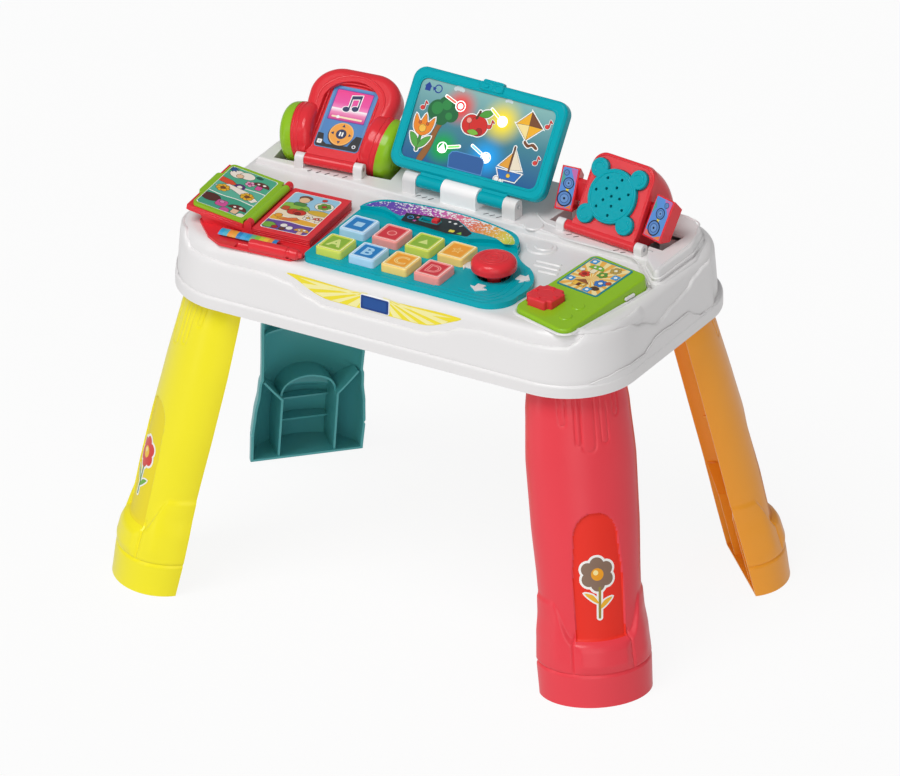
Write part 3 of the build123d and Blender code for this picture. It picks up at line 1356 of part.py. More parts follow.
def sector(radius, front, low, left, right):
    """Quarter-round block about the hinge line, behind the plane at the given depth of the face."""
    with BuildSketch(across(SPEAKER, left)) as profile:
        Circle(radius)
        angle = radians(SPEAKER_LEAN)
        up = (sin(angle), cos(angle))
        back = (cos(angle), -sin(angle))
        base = (back[0] * front, back[1] * front)
        far = 200
        with BuildLine() as line:
            Polyline(
                (base[0] - up[0] * far, base[1] - up[1] * far),
                (base[0] + up[0] * far, base[1] + up[1] * far),
                (base[0] + up[0] * far - back[0] * far, base[1] + up[1] * far - back[1] * far),
                (base[0] - up[0] * far - back[0] * far, base[1] - up[1] * far - back[1] * far),
                close=True,
            )
        make_face(line.edges(), mode=Mode.SUBTRACT)
        rectangle(-far, far, -far, low, mode=Mode.SUBTRACT)
        rectangle(-far, SHELL_FRONT, -far, 20, mode=Mode.SUBTRACT)
    extrude(profile.sketch, amount=right - left)


with BuildPart() as speaker_shell:
    sector(SPEAKER_ARC, -FRONT_BACK, -10, SHELL_LEFT, SHELL_RIGHT)
    rounds = speaker_shell.edges().filter_by(GeomType.CIRCLE)
    fillet(rounds, SHELL_ROUND)
    with BuildPart(mode=Mode.SUBTRACT) as shell_hollow:
        sector(
            SPEAKER_ARC - SHELL_WALL, -FRONT_BACK - 1, -20, SHELL_LEFT + SHELL_WALL, SHELL_RIGHT - SHELL_WALL
        )
        fillet(shell_hollow.edges().filter_by(GeomType.CIRCLE), SHELL_ROUND - SHELL_WALL)
speaker_shell.part.label = "speaker_shell"
export_step(speaker_shell.part, "parts/speaker_shell.step")

BOX_FACE_HEIGHT = 43.0
SIDE_BOX_DEPTH = 15.0
TOE_IN = 11.0
STUB_FRONT = 26.5
STUB_BACK = 33.0
STUB_LOW = 12.0
STUB_HIGH = 33.0
SIDE_BOXES = {
    # side, middle, forward, face inwards, face outwards
    "side_box_left": (-1, -49.5, 0.0, 5.5, 13.5),
    "side_box_right": (1, 53.2, 5.0, 13.0, 12.0),
}
for name, (side, middle, forward, face_in, face_out) in SIDE_BOXES.items():
    toe = radians(TOE_IN * side)
    box_frame = within(SPEAKER, (middle, 11.0, 6.5), (cos(toe), -sin(toe), 0), (0, 0, 1))
    box_face = leaning(box_frame, SPEAKER_LEAN - 3).offset(forward)
    x0, x1 = sorted((-side * face_in, side * face_out))
    shell_side = SHELL_LEFT if side < 0 else SHELL_RIGHT
    with BuildPart() as box:
        with BuildSketch(box_face.offset(-SIDE_BOX_DEPTH)):
            rectangle(x0 + 1.5, x1 - 1.5, 4, BOX_FACE_HEIGHT - 6)
        with BuildSketch(box_face):
            rectangle(x0, x1, 0, BOX_FACE_HEIGHT)
        loft()
        fillet(box.faces().filter_by(lambda f: f.normal_at().dot(box_face.z_dir) > 0.99).edges(), 1.2)
        # stub that carries the box on the side of the middle shell
        with BuildSketch(across(SPEAKER, shell_side)):
            rectangle(STUB_FRONT, STUB_BACK, STUB_LOW, STUB_HIGH)
        extrude(amount=middle - shell_side)
    box.part.label = name
    export_step(box.part, f"parts/{name}.step")
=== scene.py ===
"""Toddler activity table, dressed over its CAD frame: housing, legs, keyboard, book, console, three hinged devices."""

import bmesh
import bpy
from math import atan2, cos, exp, hypot, pi, radians, sin, sqrt, tan
from mathutils import Matrix, Vector
from mathutils.geometry import tessellate_polygon


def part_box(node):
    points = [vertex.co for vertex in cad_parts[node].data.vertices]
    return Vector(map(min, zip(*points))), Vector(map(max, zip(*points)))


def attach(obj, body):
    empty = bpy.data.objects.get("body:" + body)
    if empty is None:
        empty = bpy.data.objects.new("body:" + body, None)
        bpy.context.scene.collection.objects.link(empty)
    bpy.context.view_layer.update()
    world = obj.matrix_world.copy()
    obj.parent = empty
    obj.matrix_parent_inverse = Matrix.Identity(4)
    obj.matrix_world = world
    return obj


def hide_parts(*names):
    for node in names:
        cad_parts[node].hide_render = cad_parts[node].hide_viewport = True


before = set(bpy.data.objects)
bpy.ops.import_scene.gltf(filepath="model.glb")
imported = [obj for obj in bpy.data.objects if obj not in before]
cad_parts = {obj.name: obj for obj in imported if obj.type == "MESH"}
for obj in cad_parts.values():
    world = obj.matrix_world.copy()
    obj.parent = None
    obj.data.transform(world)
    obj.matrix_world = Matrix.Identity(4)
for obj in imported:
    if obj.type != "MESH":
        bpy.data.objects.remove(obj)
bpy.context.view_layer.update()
MM = 0.001

# Camera: the photograph is nearly parallel, taken from 31 degrees to the right of the front and 27 degrees up.
# Its frame is 848 mm wide at the table.
around, above, roll = radians(30.63), radians(27.45), radians(-0.39)
picture_width, pixels_per_mm = 900, 1.0613
looked_at = Vector((-0.5, 1.0, 193.1)) * MM
camera_away = 3
view_from = Vector((sin(around) * cos(above), -cos(around) * cos(above), sin(above)))
level_right = Vector((cos(around), sin(around), 0))
straight_up = view_from.cross(level_right)
picture_right = level_right * cos(roll) + straight_up * sin(roll)
picture_up = straight_up * cos(roll) - level_right * sin(roll)
camera = bpy.data.objects.new("camera", bpy.data.cameras.new("camera"))
bpy.context.scene.collection.objects.link(camera)
camera.data.type = "ORTHO"
camera.data.ortho_scale = picture_width / pixels_per_mm * MM
camera.data.clip_end = 10 * camera_away
camera.matrix_world = Matrix.Translation(looked_at + view_from * camera_away) @ Matrix(
    (picture_right, picture_up, view_from)).transposed().to_4x4()
bpy.context.scene.camera = camera


# Studio: an opal acrylic table lit from below, two wide soft suns and a strip light on the left under an even
# white sky, all at a plain level, at which a colour renders about as it is written.
def linear(code):
    """sRGB hex to the linear values that the sockets take."""
    parts = [int(code[i:i + 2], 16) / 255 for i in (0, 2, 4)]
    return (*[c / 12.92 if c <= 0.04045 else ((c + 0.055) / 1.055) ** 2.4 for c in parts], 1)


def add(tree, kind, links=None, **settings):
    """Adds a node with its settings; a link is a value, or the output that feeds the socket."""
    node = tree.nodes.new("ShaderNode" + kind)
    for name, value in settings.items():
        setattr(node, name, value)
    for socket, value in (links or {}).items():
        if isinstance(value, bpy.types.NodeSocket):
            tree.links.new(value, node.inputs[socket])
        else:
            node.inputs[socket].default_value = value
    return node


def new_material(name):
    """A material made of nodes, with its tree and its shader."""
    material = bpy.data.materials.new(name)
    material.use_nodes = True
    return material, material.node_tree, material.node_tree.nodes["Principled BSDF"]


for name, turn, energy, spread in (("key sun", (30, 0, -14), 1.66, 34), ("fill sun", (68, 0, 34), 0.6, 45)):
    lamp = bpy.data.objects.new(name, bpy.data.lights.new(name, "SUN"))
    bpy.context.scene.collection.objects.link(lamp)
    lamp.rotation_euler = [radians(a) for a in turn]
    lamp.data.energy = energy
    lamp.data.angle = radians(spread)
lamp = bpy.data.objects.new("strip light", bpy.data.lights.new("strip light", "AREA"))
bpy.context.scene.collection.objects.link(lamp)
lamp.data.shape = "RECTANGLE"
lamp.data.size, lamp.data.size_y = 0.4, 2.0
lamp.data.energy = 6
strip_place, strip_back = Vector((-1.7, -2.1, 1.0)), Vector((-1.7, -2.1, 0.8))  # where it stands, away from the table
lamp.matrix_world = Matrix.Translation(strip_place) @ strip_back.to_track_quat("Z", "Y").to_matrix().to_4x4()
world = bpy.data.worlds.new("even sky")
bpy.context.scene.world = world
world.use_nodes = True
sky = world.node_tree
path = add(sky, "LightPath")
seen = add(sky, "Math", {0: path.outputs["Is Camera Ray"], 1: path.outputs["Is Transmission Ray"]}, operation="MAXIMUM")
sky_light = add(sky, "Background", {"Color": linear("FFFFFF"), "Strength": 0.24})
sky_seen = add(sky, "Background", {"Color": linear("FFFFFF"), "Strength": 1.0})
both = add(sky, "MixShader", {0: seen.outputs[0], 1: sky_light.outputs[0], 2: sky_seen.outputs[0]})
sky.links.new(both.outputs[0], sky.nodes["World Output"].inputs["Surface"])
bpy.context.scene.view_settings.view_transform = "Standard"

# Opal acrylic: a matt, even white that stays pale to the eye and keeps the table's soft shadow.
acrylic, tree, shader = new_material("opal acrylic, lit from below")
shader.inputs["Base Color"].default_value = linear("F4F4F4")
shader.inputs["Roughness"].default_value = 0.9
matting = add(tree, "TexNoise", {"Vector": add(tree, "TexCoord").outputs["Object"], "Scale": 900.0})
bump = add(tree, "Bump", {"Height": matting.outputs["Fac"], "Strength": 0.05, "Distance": 0.2 * MM})
tree.links.new(bump.outputs[0], shader.inputs["Normal"])
seen = add(tree, "MapRange", {"Value": add(tree, "LightPath").outputs["Is Camera Ray"], "To Min": 0.74, "To Max": 1.0})
lit = add(tree, "Emission", {"Color": linear("FFFFFF"), "Strength": seen.outputs[0]})
mixed = add(tree, "MixShader", {0: 0.9, 1: shader.outputs[0], 2: lit.outputs[0]})
tree.links.new(mixed.outputs[0], tree.nodes["Material Output"].inputs["Surface"])
mesh = bpy.data.meshes.new("studio_floor")
reach, drop = 12, 0.2 * MM
mesh.from_pydata([(x * reach, y * reach, -drop) for x, y in ((-1, -1), (1, -1), (1, 1), (-1, 1))], [], [(0, 1, 2, 3)])
floor = bpy.data.objects.new("studio_floor", mesh)
floor.data.materials.append(acrylic)
bpy.context.scene.collection.objects.link(floor)


# Housing: one large white ABS moulding with its base plate. Spark-eroded moulds give ABS a fine satin skin,
# and thick and thin places cool to very slightly different shades.
def moulded(name, colour, roughness, grain, mottle=0.03, glow=0.0, shine=0.5):
    """Injection-moulded plastic: satin to gloss, with a slow drift of shade over 60 mm, handling marks in its gloss
    over 18 mm and a fine grain from the spark-eroded mould, drawn at 1.1 mm, as coarse as it needs to show."""
    material, tree, shader = new_material(name)
    place = add(tree, "TexCoord").outputs["Object"]
    drift = add(tree, "TexNoise", {"Vector": place, "Scale": 1 / (60 * MM), "Detail": 2.0}).outputs["Fac"]
    base = linear(colour)
    dark = [c * (1 - mottle) for c in base[:3]] + [1]
    light = [min(1, c * (1 + mottle)) for c in base[:3]] + [1]
    shade = add(tree, "Mix", {0: drift, 6: dark, 7: light}, data_type="RGBA").outputs[2]
    tree.links.new(shade, shader.inputs["Base Color"])
    rub = add(tree, "TexNoise", {"Vector": place, "Scale": 1 / (18 * MM), "Detail": 4.0}).outputs["Fac"]
    gloss = add(tree, "MapRange", {"Value": rub, "To Min": roughness - 0.05, "To Max": roughness + 0.05})
    tree.links.new(gloss.outputs[0], shader.inputs["Roughness"])
    spark = add(tree, "TexNoise", {"Vector": place, "Scale": 1 / (1.1 * MM), "Detail": 2.0}).outputs["Fac"]
    skin = add(tree, "Bump", {"Height": spark, "Strength": grain, "Distance": 0.3 * MM})
    tree.links.new(skin.outputs[0], shader.inputs["Normal"])
    shader.inputs["IOR"].default_value = 1.5
    shader.inputs["Specular IOR Level"].default_value = shine
    if glow:
        tree.links.new(shade, shader.inputs["Emission Color"])
        shader.inputs["Emission Strength"].default_value = glow
    return material


def dress(material, *nodes):
    """Gives CAD nodes their material."""
    for node in nodes:
        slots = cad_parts[node].data.materials
        slots.clear()
        slots.append(material)


# White ABS: a clean, faintly warm white with a soft, even highlight.
white_abs = moulded("white ABS, satin moulded", "ECEAEA", 0.3, 0.015, 0.015)
WHITE = white_abs, "white_shell"
dress(white_abs, "top_housing", "base_plate", "battery_door")


# Terraces moulded into the housing's wall, edge and deck in the same white ABS: low steps with soft lips that run
# round it like poured paint, and fine lines and steps round the platform and the plinth behind.
def shade_smooth(mesh, angle):
    """Smooth faces with sharp edges kept where the surface turns by more than the angle."""
    work = bmesh.new()
    work.from_mesh(mesh)
    for face in work.faces:
        face.smooth = True
    for edge in work.edges:
        edge.smooth = len(edge.link_faces) == 2 and edge.calc_face_angle(0) < radians(angle)
    work.to_mesh(mesh)
    work.free()


def make_piece(name, work, materials, body, slot, smooth, outward=True):
    """Turns a bmesh into a finished piece that rides on a CAD body; smooth is the angle that stays a sharp edge."""
    if outward:
        bmesh.ops.recalc_face_normals(work, faces=work.faces)
    mesh = bpy.data.meshes.new(name)
    work.to_mesh(mesh)
    work.free()
    for material in materials:
        mesh.materials.append(material)
    if smooth:
        shade_smooth(mesh, smooth)
    piece = bpy.data.objects.new(name, mesh)
    bpy.context.scene.collection.objects.link(piece)
    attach(piece, body)
    return piece


WALL_FOOT = 298  # height of the wall's lower end
WALL_RISE = 54  # from there to the rounded edge
EDGE = 10  # radius of the edge between wall and deck
DECK = WALL_FOOT + WALL_RISE + EDGE
FRONT_HALF, SIDE_HALF, CORNER, INSET = 174, 73.5, 71, 4  # straight half sides, corner radius, wall behind the skirt


def shell_skin(s, c, h=0.0):
    """Point on the housing: s mm round it from the front's middle to the right, c mm up its wall and over the edge."""
    draft = tan(radians(4))
    edge_end = WALL_RISE + 15
    if c < WALL_RISE:
        off, z = -INSET - c * draft + h, WALL_FOOT + c
    elif c < edge_end:
        turn = (c - WALL_RISE) / EDGE
        off = -INSET - WALL_RISE * draft - EDGE * (1 - cos(turn)) + h * cos(turn)
        z = WALL_FOOT + WALL_RISE + (EDGE + h) * sin(turn)
    else:
        off, z = -INSET - EDGE - WALL_RISE * draft - (c - edge_end), DECK + h
    radius = CORNER + off
    side = 1 if s >= 0 else -1
    s = abs(s)
    around = CORNER - INSET
    bend = around * pi / 2
    if s < FRONT_HALF:
        x, y = s, -SIDE_HALF - radius
    elif s < FRONT_HALF + bend:
        turn = (s - FRONT_HALF) / around
        x, y = FRONT_HALF + radius * sin(turn), -SIDE_HALF - radius * cos(turn)
    elif s < FRONT_HALF + bend + 2 * SIDE_HALF:
        x, y = FRONT_HALF + radius, s - FRONT_HALF - bend - SIDE_HALF
    else:
        turn = (s - FRONT_HALF - bend - 2 * SIDE_HALF) / around
        x, y = FRONT_HALF + radius * cos(turn), SIDE_HALF + radius * sin(turn)
    return Vector((side * x, y, z)) * MM


def level_at(line, s):
    """Height of a line of points at s, eased from point to point."""
    for (s0, c0), (s1, c1) in zip(line, line[1:]):
        if s <= s1:
            t = min(1, max(0, (s - s0) / (s1 - s0)))
            return c0 + (c1 - c0) * t * t * (3 - 2 * t)
    return line[-1][1]


def shrink(loop, amount):
    """The loop moved inwards, corner by corner."""
    count = len(loop)
    area = sum(loop[i][0] * loop[(i + 1) % count][1] - loop[(i + 1) % count][0] * loop[i][1] for i in range(count))
    side = 1 if area > 0 else -1
    moved = []
    for i in range(count):
        a, b, c = Vector(loop[i - 1]), Vector(loop[i]), Vector(loop[(i + 1) % count])
        first, second = (b - a).normalized(), (c - b).normalized()
        n1, n2 = Vector((-first.y, first.x)) * side, Vector((-second.y, second.x)) * side
        middle = (n1 + n2).normalized() if (n1 + n2).length > 1e-6 else n1
        moved.append(tuple(b + middle * (amount / max(0.4, middle.dot(n1)))))
    return moved


def fill(*loops):
    """Triangles that fill an outline; further loops are its holes."""
    points = [(x, y) for loop in loops for x, y in loop]
    triangles = []
    for a, b, c in tessellate_polygon([[Vector((x, y, 0)) for x, y in loop] for loop in loops]):
        (x0, y0), (x1, y1), (x2, y2) = points[a], points[b], points[c]
        area = (x1 - x0) * (y2 - y0) - (x2 - x0) * (y1 - y0)
        if abs(area) > 1e-9:
            triangles.append((a, b, c) if area > 0 else (a, c, b))
    return points, triangles


def divide(work, longest):
    """Splits edges until none is longer than this, so that the sheet can follow a curved wall."""
    for _ in range(6):
        edges = [e for e in work.edges if e.calc_length() > longest]
        if not edges:
            break
        bmesh.ops.subdivide_edges(work, edges=edges, cuts=1)
        bmesh.ops.triangulate(work, faces=work.faces)


SUNK = -0.4  # how far raised detail reaches into the wall that carries it


def relief(name, body, place, loop, height, finish, edge, longest=None):
    """Raised plate with a chamfered rim, sunk a little into the wall that carries it; finish is material and slot."""
    work = bmesh.new()
    top_loop = shrink(loop, edge)
    levels = [(loop, SUNK), (loop, height - edge), (top_loop, height)]
    rings = [[work.verts.new((x, y, z)) for x, y in ring] for ring, z in levels]
    for low, high in zip(rings, rings[1:]):
        for i in range(len(low)):
            j = (i + 1) % len(low)
            work.faces.new((low[i], low[j], high[j], high[i]))
    _, triangles = fill(top_loop)
    for a, b, c in triangles:
        work.faces.new((rings[-1][a], rings[-1][b], rings[-1][c]))
    if longest:
        divide(work, longest)
    for vertex in work.verts:
        vertex.co = place(*vertex.co)
    return make_piece(name, work, [finish[0]], body, finish[1], 30)


def curve_points(controls, steps=8, closed=False):
    """Smooth line through the control points."""
    points = []
    count = len(controls)
    spans = count if closed else count - 1
    for i in range(spans):
        p = [Vector(controls[(i + k) % count] if closed else controls[min(max(i + k, 0), count - 1)])
             for k in (-1, 0, 1, 2)]
        for step in range(steps):
            t = step / steps
            points.append(tuple(0.5 * ((2 * p[1]) + (p[2] - p[0]) * t + (2 * p[0] - 5 * p[1] + 4 * p[2] - p[3]) * t * t
                                       + (3 * p[1] - p[0] - 3 * p[2] + p[3]) * t ** 3)))
    if not closed:
        points.append(tuple(controls[-1]))
    return points


LIP = ((0.0, 0.0), (0.3, 0.55), (0.65, 0.88), (1.0, 1.0))  # a lip's curve: share of its width, share of its height


def terrace(name, low, high, height, lip, place=shell_skin):
    """Raised band between two lines, with a soft lip along both and faded ends."""
    work = bmesh.new()
    start, end = high[0][0], high[-1][0]
    count = round((end - start) / 3)
    rings = []
    for i in range(count + 1):
        s = start + (end - start) * i / count
        fade = min(1, i / 3, (count - i) / 3)
        bottom, top = level_at(low, s), level_at(high, s)
        soft = min(lip, (top - bottom) * 0.45)
        line = [(bottom, SUNK)] + [(bottom + soft * across, up) for across, up in LIP]
        line += [(bottom + soft + (top - bottom - 2 * soft) * k / 7, 1) for k in range(1, 7)]
        line += [(top - soft * across, up) for across, up in reversed(LIP)] + [(top, SUNK)]
        rings.append([work.verts.new(place(s, c, h * height * fade if h > 0 else h)) for c, h in line])
    for a, b in zip(rings, rings[1:]):
        for k in range(len(a) - 1):
            work.faces.new((a[k], b[k], b[k + 1], a[k + 1]))
    return make_piece(name, work, [white_abs], "table", "white_shell", 60)


def ridge(name, body, place, line, radius, finish, closed=False, sides=6):
    """Low half-round ridge along a line on a face, tapered at open ends; finish is material and slot."""
    work = bmesh.new()
    rings = []
    count = len(line)
    for i, (x, y) in enumerate(line):
        before = line[(i - 1) % count] if closed or i else line[0]
        after = line[(i + 1) % count] if closed or i < count - 1 else line[-1]
        run = (Vector(after) - Vector(before)).normalized()
        ends = 1.0 if closed or 0 < i < count - 1 else 0.3
        ring = []
        for k in range(sides + 1):
            across = radius * ends * cos(pi * k / sides)
            high = radius * 0.8 * ends * sin(pi * k / sides) - 0.05
            ring.append(work.verts.new(place(x - run.y * across, y + run.x * across, high)))
        rings.append(ring)
    pairs = list(zip(rings, rings[1:])) + ([(rings[-1], rings[0])] if closed else [])
    for a, b in pairs:
        for k in range(sides):
            work.faces.new((a[k], a[k + 1], b[k + 1], b[k]))
        work.faces.new((a[0], b[0], b[-1], a[-1]))
    if not closed:
        work.faces.new(rings[0])
        work.faces.new(rings[-1])
    return make_piece(name, work, [finish[0]], body, finish[1], 50)


def flat_place(x0, y0, z0, turn=0.0):
    """Level face: local X and Y in mm about a point."""
    c, s = cos(radians(turn)), sin(radians(turn))
    return lambda x, y, h=0.0: Vector((x0 + c * x - s * y, y0 + s * x + c * y, z0 + h)) * MM


def disc(x, y, r, count=36, squash=1.0):
    """Round or oval outline."""
    return [(x + r * cos(2 * pi * i / count), y + r * squash * sin(2 * pi * i / count)) for i in range(count)]


def rounded(x0, y0, x1, y1, r, steps=5):
    """Rectangle with round corners."""
    corners = [(x1 - r, y1 - r, 0), (x0 + r, y1 - r, 90), (x0 + r, y0 + r, 180), (x1 - r, y0 + r, 270)]
    return [(x + r * cos(radians(a + 90 * i / steps)), y + r * sin(radians(a + 90 * i / steps)))
            for x, y, a in corners for i in range(steps + 1)]


def soft_corners(corners, steps=6):
    """Closed outline whose corners are (x, y, radius)."""
    loop = []
    for i, (x, y, r) in enumerate(corners):
        here = Vector((x, y))
        before = (Vector(corners[i - 1][:2]) - here).normalized()
        after = (Vector(corners[(i + 1) % len(corners)][:2]) - here).normalized()
        half = before.angle(after) / 2
        middle = here + (before + after).normalized() * r / sin(half)
        start, end = here + before * r / tan(half) - middle, here + after * r / tan(half) - middle
        a0 = atan2(start.y, start.x)
        swing = (atan2(end.y, end.x) - a0 + pi) % (2 * pi) - pi
        for k in range(steps + 1):
            a = a0 + swing * k / steps
            loop.append((middle.x + r * cos(a), middle.y + r * sin(a)))
    return loop


def bar(x0, y0, x1, y1, width):
    """Round-ended stroke between two points."""
    angle = atan2(y1 - y0, x1 - x0)
    loop = []
    for x, y, start in ((x0, y0, angle + pi / 2), (x1, y1, angle - pi / 2)):
        loop += [(x + width / 2 * cos(start + pi * i / 8), y + width / 2 * sin(start + pi * i / 8)) for i in range(9)]
    return loop


# Lines of the steps: mm round the housing from the front's middle, mm up its wall.
edge_line = [
    (54, 31.5), (72, 36.5), (95, 46), (118, 49), (160, 48), (186, 49.5), (208, 50), (216, 55), (228, 62.5), (249, 60),
    (262, 58.7), (280, 57), (304, 47), (334, 36), (362, 42), (386, 45.5), (403, 53), (420, 56), (440, 57)]
rim_line = [
    (225, 12.5), (245, 16), (262, 19), (283, 18), (302, 17.5), (314, 22), (324, 25.7), (337, 26.2), (359, 24.5),
    (384, 25), (396, 17), (406, 12), (425, 11)]
front_line = [(-s, c) for s, c in reversed(edge_line)] + edge_line
terrace("wall_terrace", [(-440, 9), (440, 9)], front_line, 2.8, 2.2)
for side, name in ((1, "right"), (-1, "left")):
    def half_skin(s, c, h=0.0, side=side):
        return shell_skin(side * s, c, h)

    terrace(f"rim_terrace_{name}", [(225, 8), (425, 8)], rim_line, 4.1, 1.3, half_skin)
    bead = [(s, level_at(rim_line, s) - 0.6) for s in range(228, 420, 4)]
    ridge(f"rim_bead_{name}", "table", lambda x, y, h=0.0, skin=half_skin: skin(x, y, h + 3.6), bead, 0.9, WHITE)
PLATFORM, PLINTH = 368, 375  # heights of the rear platform and of the plinth's top on it
deck, platform, plinth_top = (flat_place(0, 0, high) for high in (DECK, PLATFORM, PLINTH))
for number, (place, loop, height, lip) in enumerate((
        (deck, disc(95, 11, 15.5, 48, 0.9), 1.5, 1.2), (deck, disc(97, 12, 9.5, 40, 0.9), 2.6, 1.1),
        (platform, disc(72, 36, 9.5, 40), 1.5, 1.2),
        (deck, bar(106, -13, 128, -12, 5.4), 1.3, 1.1), (deck, bar(108, -21.5, 131, -20.5, 5.4), 1.3, 1.1),
        (deck, bar(118, -30, 134, -29, 5.4), 1.3, 1.1))):
    relief(f"deck_relief_{number}", "table", place, loop, height, WHITE, lip)
for number, (place, line) in enumerate((
        (plinth_top, [(84, 118), (196, 112), (216, 94), (224, 64), (223, 2)]),
        (platform, [(60, 61), (80, 47), (120, 44), (176, 40), (188, 38)]),
        (platform, [(56, 33), (84, 33), (112, 28), (150, 27.6), (186, 26), (204, 10), (228, -14)]))):
    ridge(f"plinth_line_{number}", "table", place, curve_points(line, 6), 1.0, WHITE)
plinth = soft_corners([(78, 54, 6), (186, 50, 14), (203, 18, 8), (229, -8, 6), (231, 64, 20), (222, 98, 14),
                       (200, 118, 20), (84, 124, 10)], 4)
plinth_foot, plinth_taper = 350, radians(6)
stepped = slice(9, 33)  # the corners from the front round the right side to the back
for number, (high, radius) in enumerate(((360.4, 3.6), (366.6, 1.5))):
    outline = shrink(plinth, (high - plinth_foot) * tan(plinth_taper))
    ridge(f"plinth_step_{number}", "table", flat_place(0, 0, high), outline[stepped], radius, WHITE)
console_edge = [(212, 74), (222, 70), (232, 66.5), (246, 67.5), (262, 66), (290, 63), (312, 64)]
terrace("console_terrace", [(212, 62), (262, 58), (290, 52), (312, 50)], console_edge, 1.6, 2.0)


# Front panel: a smile-shaped vinyl film stuck on the front wall, yellow with paler rays that spread from its middle,
# and a plain blue badge on a low white plate, glued on it.
FILMS = {}


def film(colour, glow=0.0):
    """Printed vinyl film: flat ink under a glossy clear coat, with a faint drift in the ink."""
    if (colour, glow) not in FILMS:
        FILMS[colour, glow] = moulded(f"printed vinyl film {colour} {glow:g}", colour, 0.34, 0.0, 0.03, glow, 0.35)
    return FILMS[colour, glow]


LAYER = 0.045  # mm from one printed layer to the next, more than real ink has, so that none shows through another
STAGGER = 0.012  # share of a layer from one shape to the next on the same level


def printed(name, body, place, layers, slot="picture", longest=None, base=0.05, layer=LAYER):
    """Film or ink: each layer is (level, colour, shape), the levels lying one thin layer above the other."""
    work = bmesh.new()
    inks = []
    for number, (level, ink, (points, triangles)) in enumerate(layers):
        level += number * STAGGER
        if isinstance(ink, str):
            ink = film(ink)
        if ink not in inks:
            inks.append(ink)
        corners = [work.verts.new((x, y, level)) for x, y in points]
        for a, b, c in triangles:
            face = work.faces.new((corners[a], corners[b], corners[c]))
            face.material_index = inks.index(ink)
    if longest:
        divide(work, longest)
    for vertex in work.verts:
        vertex.co = place(vertex.co.x, vertex.co.y, base + vertex.co.z * layer)
    return make_piece(name, work, inks, body, slot, 0, False)


smile = curve_points([(-97, 54.6), (-86, 50.6), (-71, 43.4), (-60, 39.9), (-49, 38.3), (-20, 38.2), (20, 38.2),
                      (49, 38.3), (64, 41), (80, 47.5), (94, 54.4), (84, 55.6), (66, 55.6), (40, 54.6), (14, 54),
                      (-14, 54), (-44, 54.6), (-70, 55.4), (-86, 55.6)], 4, True)


def smile_place(x, y, h=0.0):
    """On the field, a film's thickness off the wall."""
    return shell_skin(x, y, h + 0.1)


rays = [(0, "F3E12F", fill(smile))]
low_edge = [(0, 38.6), (49, 38.7), (60, 40.3), (71, 43.8), (86, 51), (97, 55)]
for side in (-1, 1):
    for near, far in ((20, 30), (39, 48), (57, 66), (74, 80)):
        ray = [(side * 8, 56), (side * near, level_at(low_edge, near)), (side * far, level_at(low_edge, far))]
        rays.append((1, "F8F0A6", fill(ray[::side])))
    rays.append((1, "F8F0A6", fill([(side * 12, 51.5), (side * 60, 50), (side * 84, 53.4), (side * 40, 53.2)][::side])))
printed("smile_rays", "table", smile_place, rays, "leg_yellow", 4)
badge = rounded(-16, 38.6, 16, 54.2, 2.2)
badge_height = 0.9
relief("front_badge", "table", smile_place, badge, badge_height, (film("F4F6F8"), "picture"), 0.4, 5)
blues = [(0, "143F86", fill(shrink(badge, 0.9))), (1, "1B4F98", fill(rounded(-12.6, 41.6, 12.6, 51.4, 1.4)))]
printed("front_badge_face", "table", lambda x, y, h=0.0: smile_place(x, y, h + badge_height), blues, "picture", 5)


# Legs: each is a deep polypropylene channel, moulded in one colour and pushed into a socket of the base plate, with an
# arched panel sunk into its outer face, shallow drips under the top and a boot of overlapping petals. Ribs and shelves
# stiffen the open inside.

# Sections of the shaft and of the boot: height, width, depth.
SHAFT = [
    (0, 95, 42), (30, 96, 43), (70, 97, 43.8), (110, 100, 45), (160, 105, 44.2), (220, 107, 42.5), (270, 101, 40.6),
    (299, 93, 38)]
BOOT = [(0, 109, 45.4), (32, 111, 48.6), (58, 108, 47.6), (77, 103, 46.5), (105, 101, 45.5), (299, 93, 38)]
WALL = 2.4
LEG_X, LEG_Y = 188, 86  # the middle of the open edge at the leg's top
LEG_TOP, SPREAD = 297, 49.5  # height at which a leg enters its socket, and how far it leans out from there to the floor
ARCH_TOP, ARCH_TURN, ARCH_LOW = 183, 158, 61  # the sunk panel's top, where its round head begins, and its lower end
PANEL_DEPTH = 1.9
# The drips: how far each lies from the middle, half its width, and the height of its round end.
DRIPS = ((-23, 3.2, 268), (-9.5, 2.4, 249), (0, 6.2, 246), (15.5, 3.4, 250), (29, 3.0, 272))


def between(table, z):
    """Width and depth of a leg at a height, smoothly between its sections."""
    for (z0, w0, d0), (z1, w1, d1) in zip(table, table[1:]):
        if z <= z1:
            t = (z - z0) / (z1 - z0)
            t = t * t * (3 - 2 * t) * 0.35 + t * 0.65
            return w0 + (w1 - w0) * t, d0 + (d1 - d0) * t
    return table[-1][1:]


def ease(start, end, x):
    """Share of the way from start to end, with soft ends."""
    t = min(1, max(0, (x - start) / (end - start)))
    return t * t * (3 - 2 * t)


def arch_half(z):
    """Half the width of the sunk panel at a height."""
    if z > ARCH_TOP:
        return -5
    side = 23.6 - 2.6 * ease(120, 160, z)
    if z <= ARCH_TURN:
        return side
    return side * sqrt(max(0, 1 - ((z - ARCH_TURN) / (ARCH_TOP - ARCH_TURN)) ** 2))


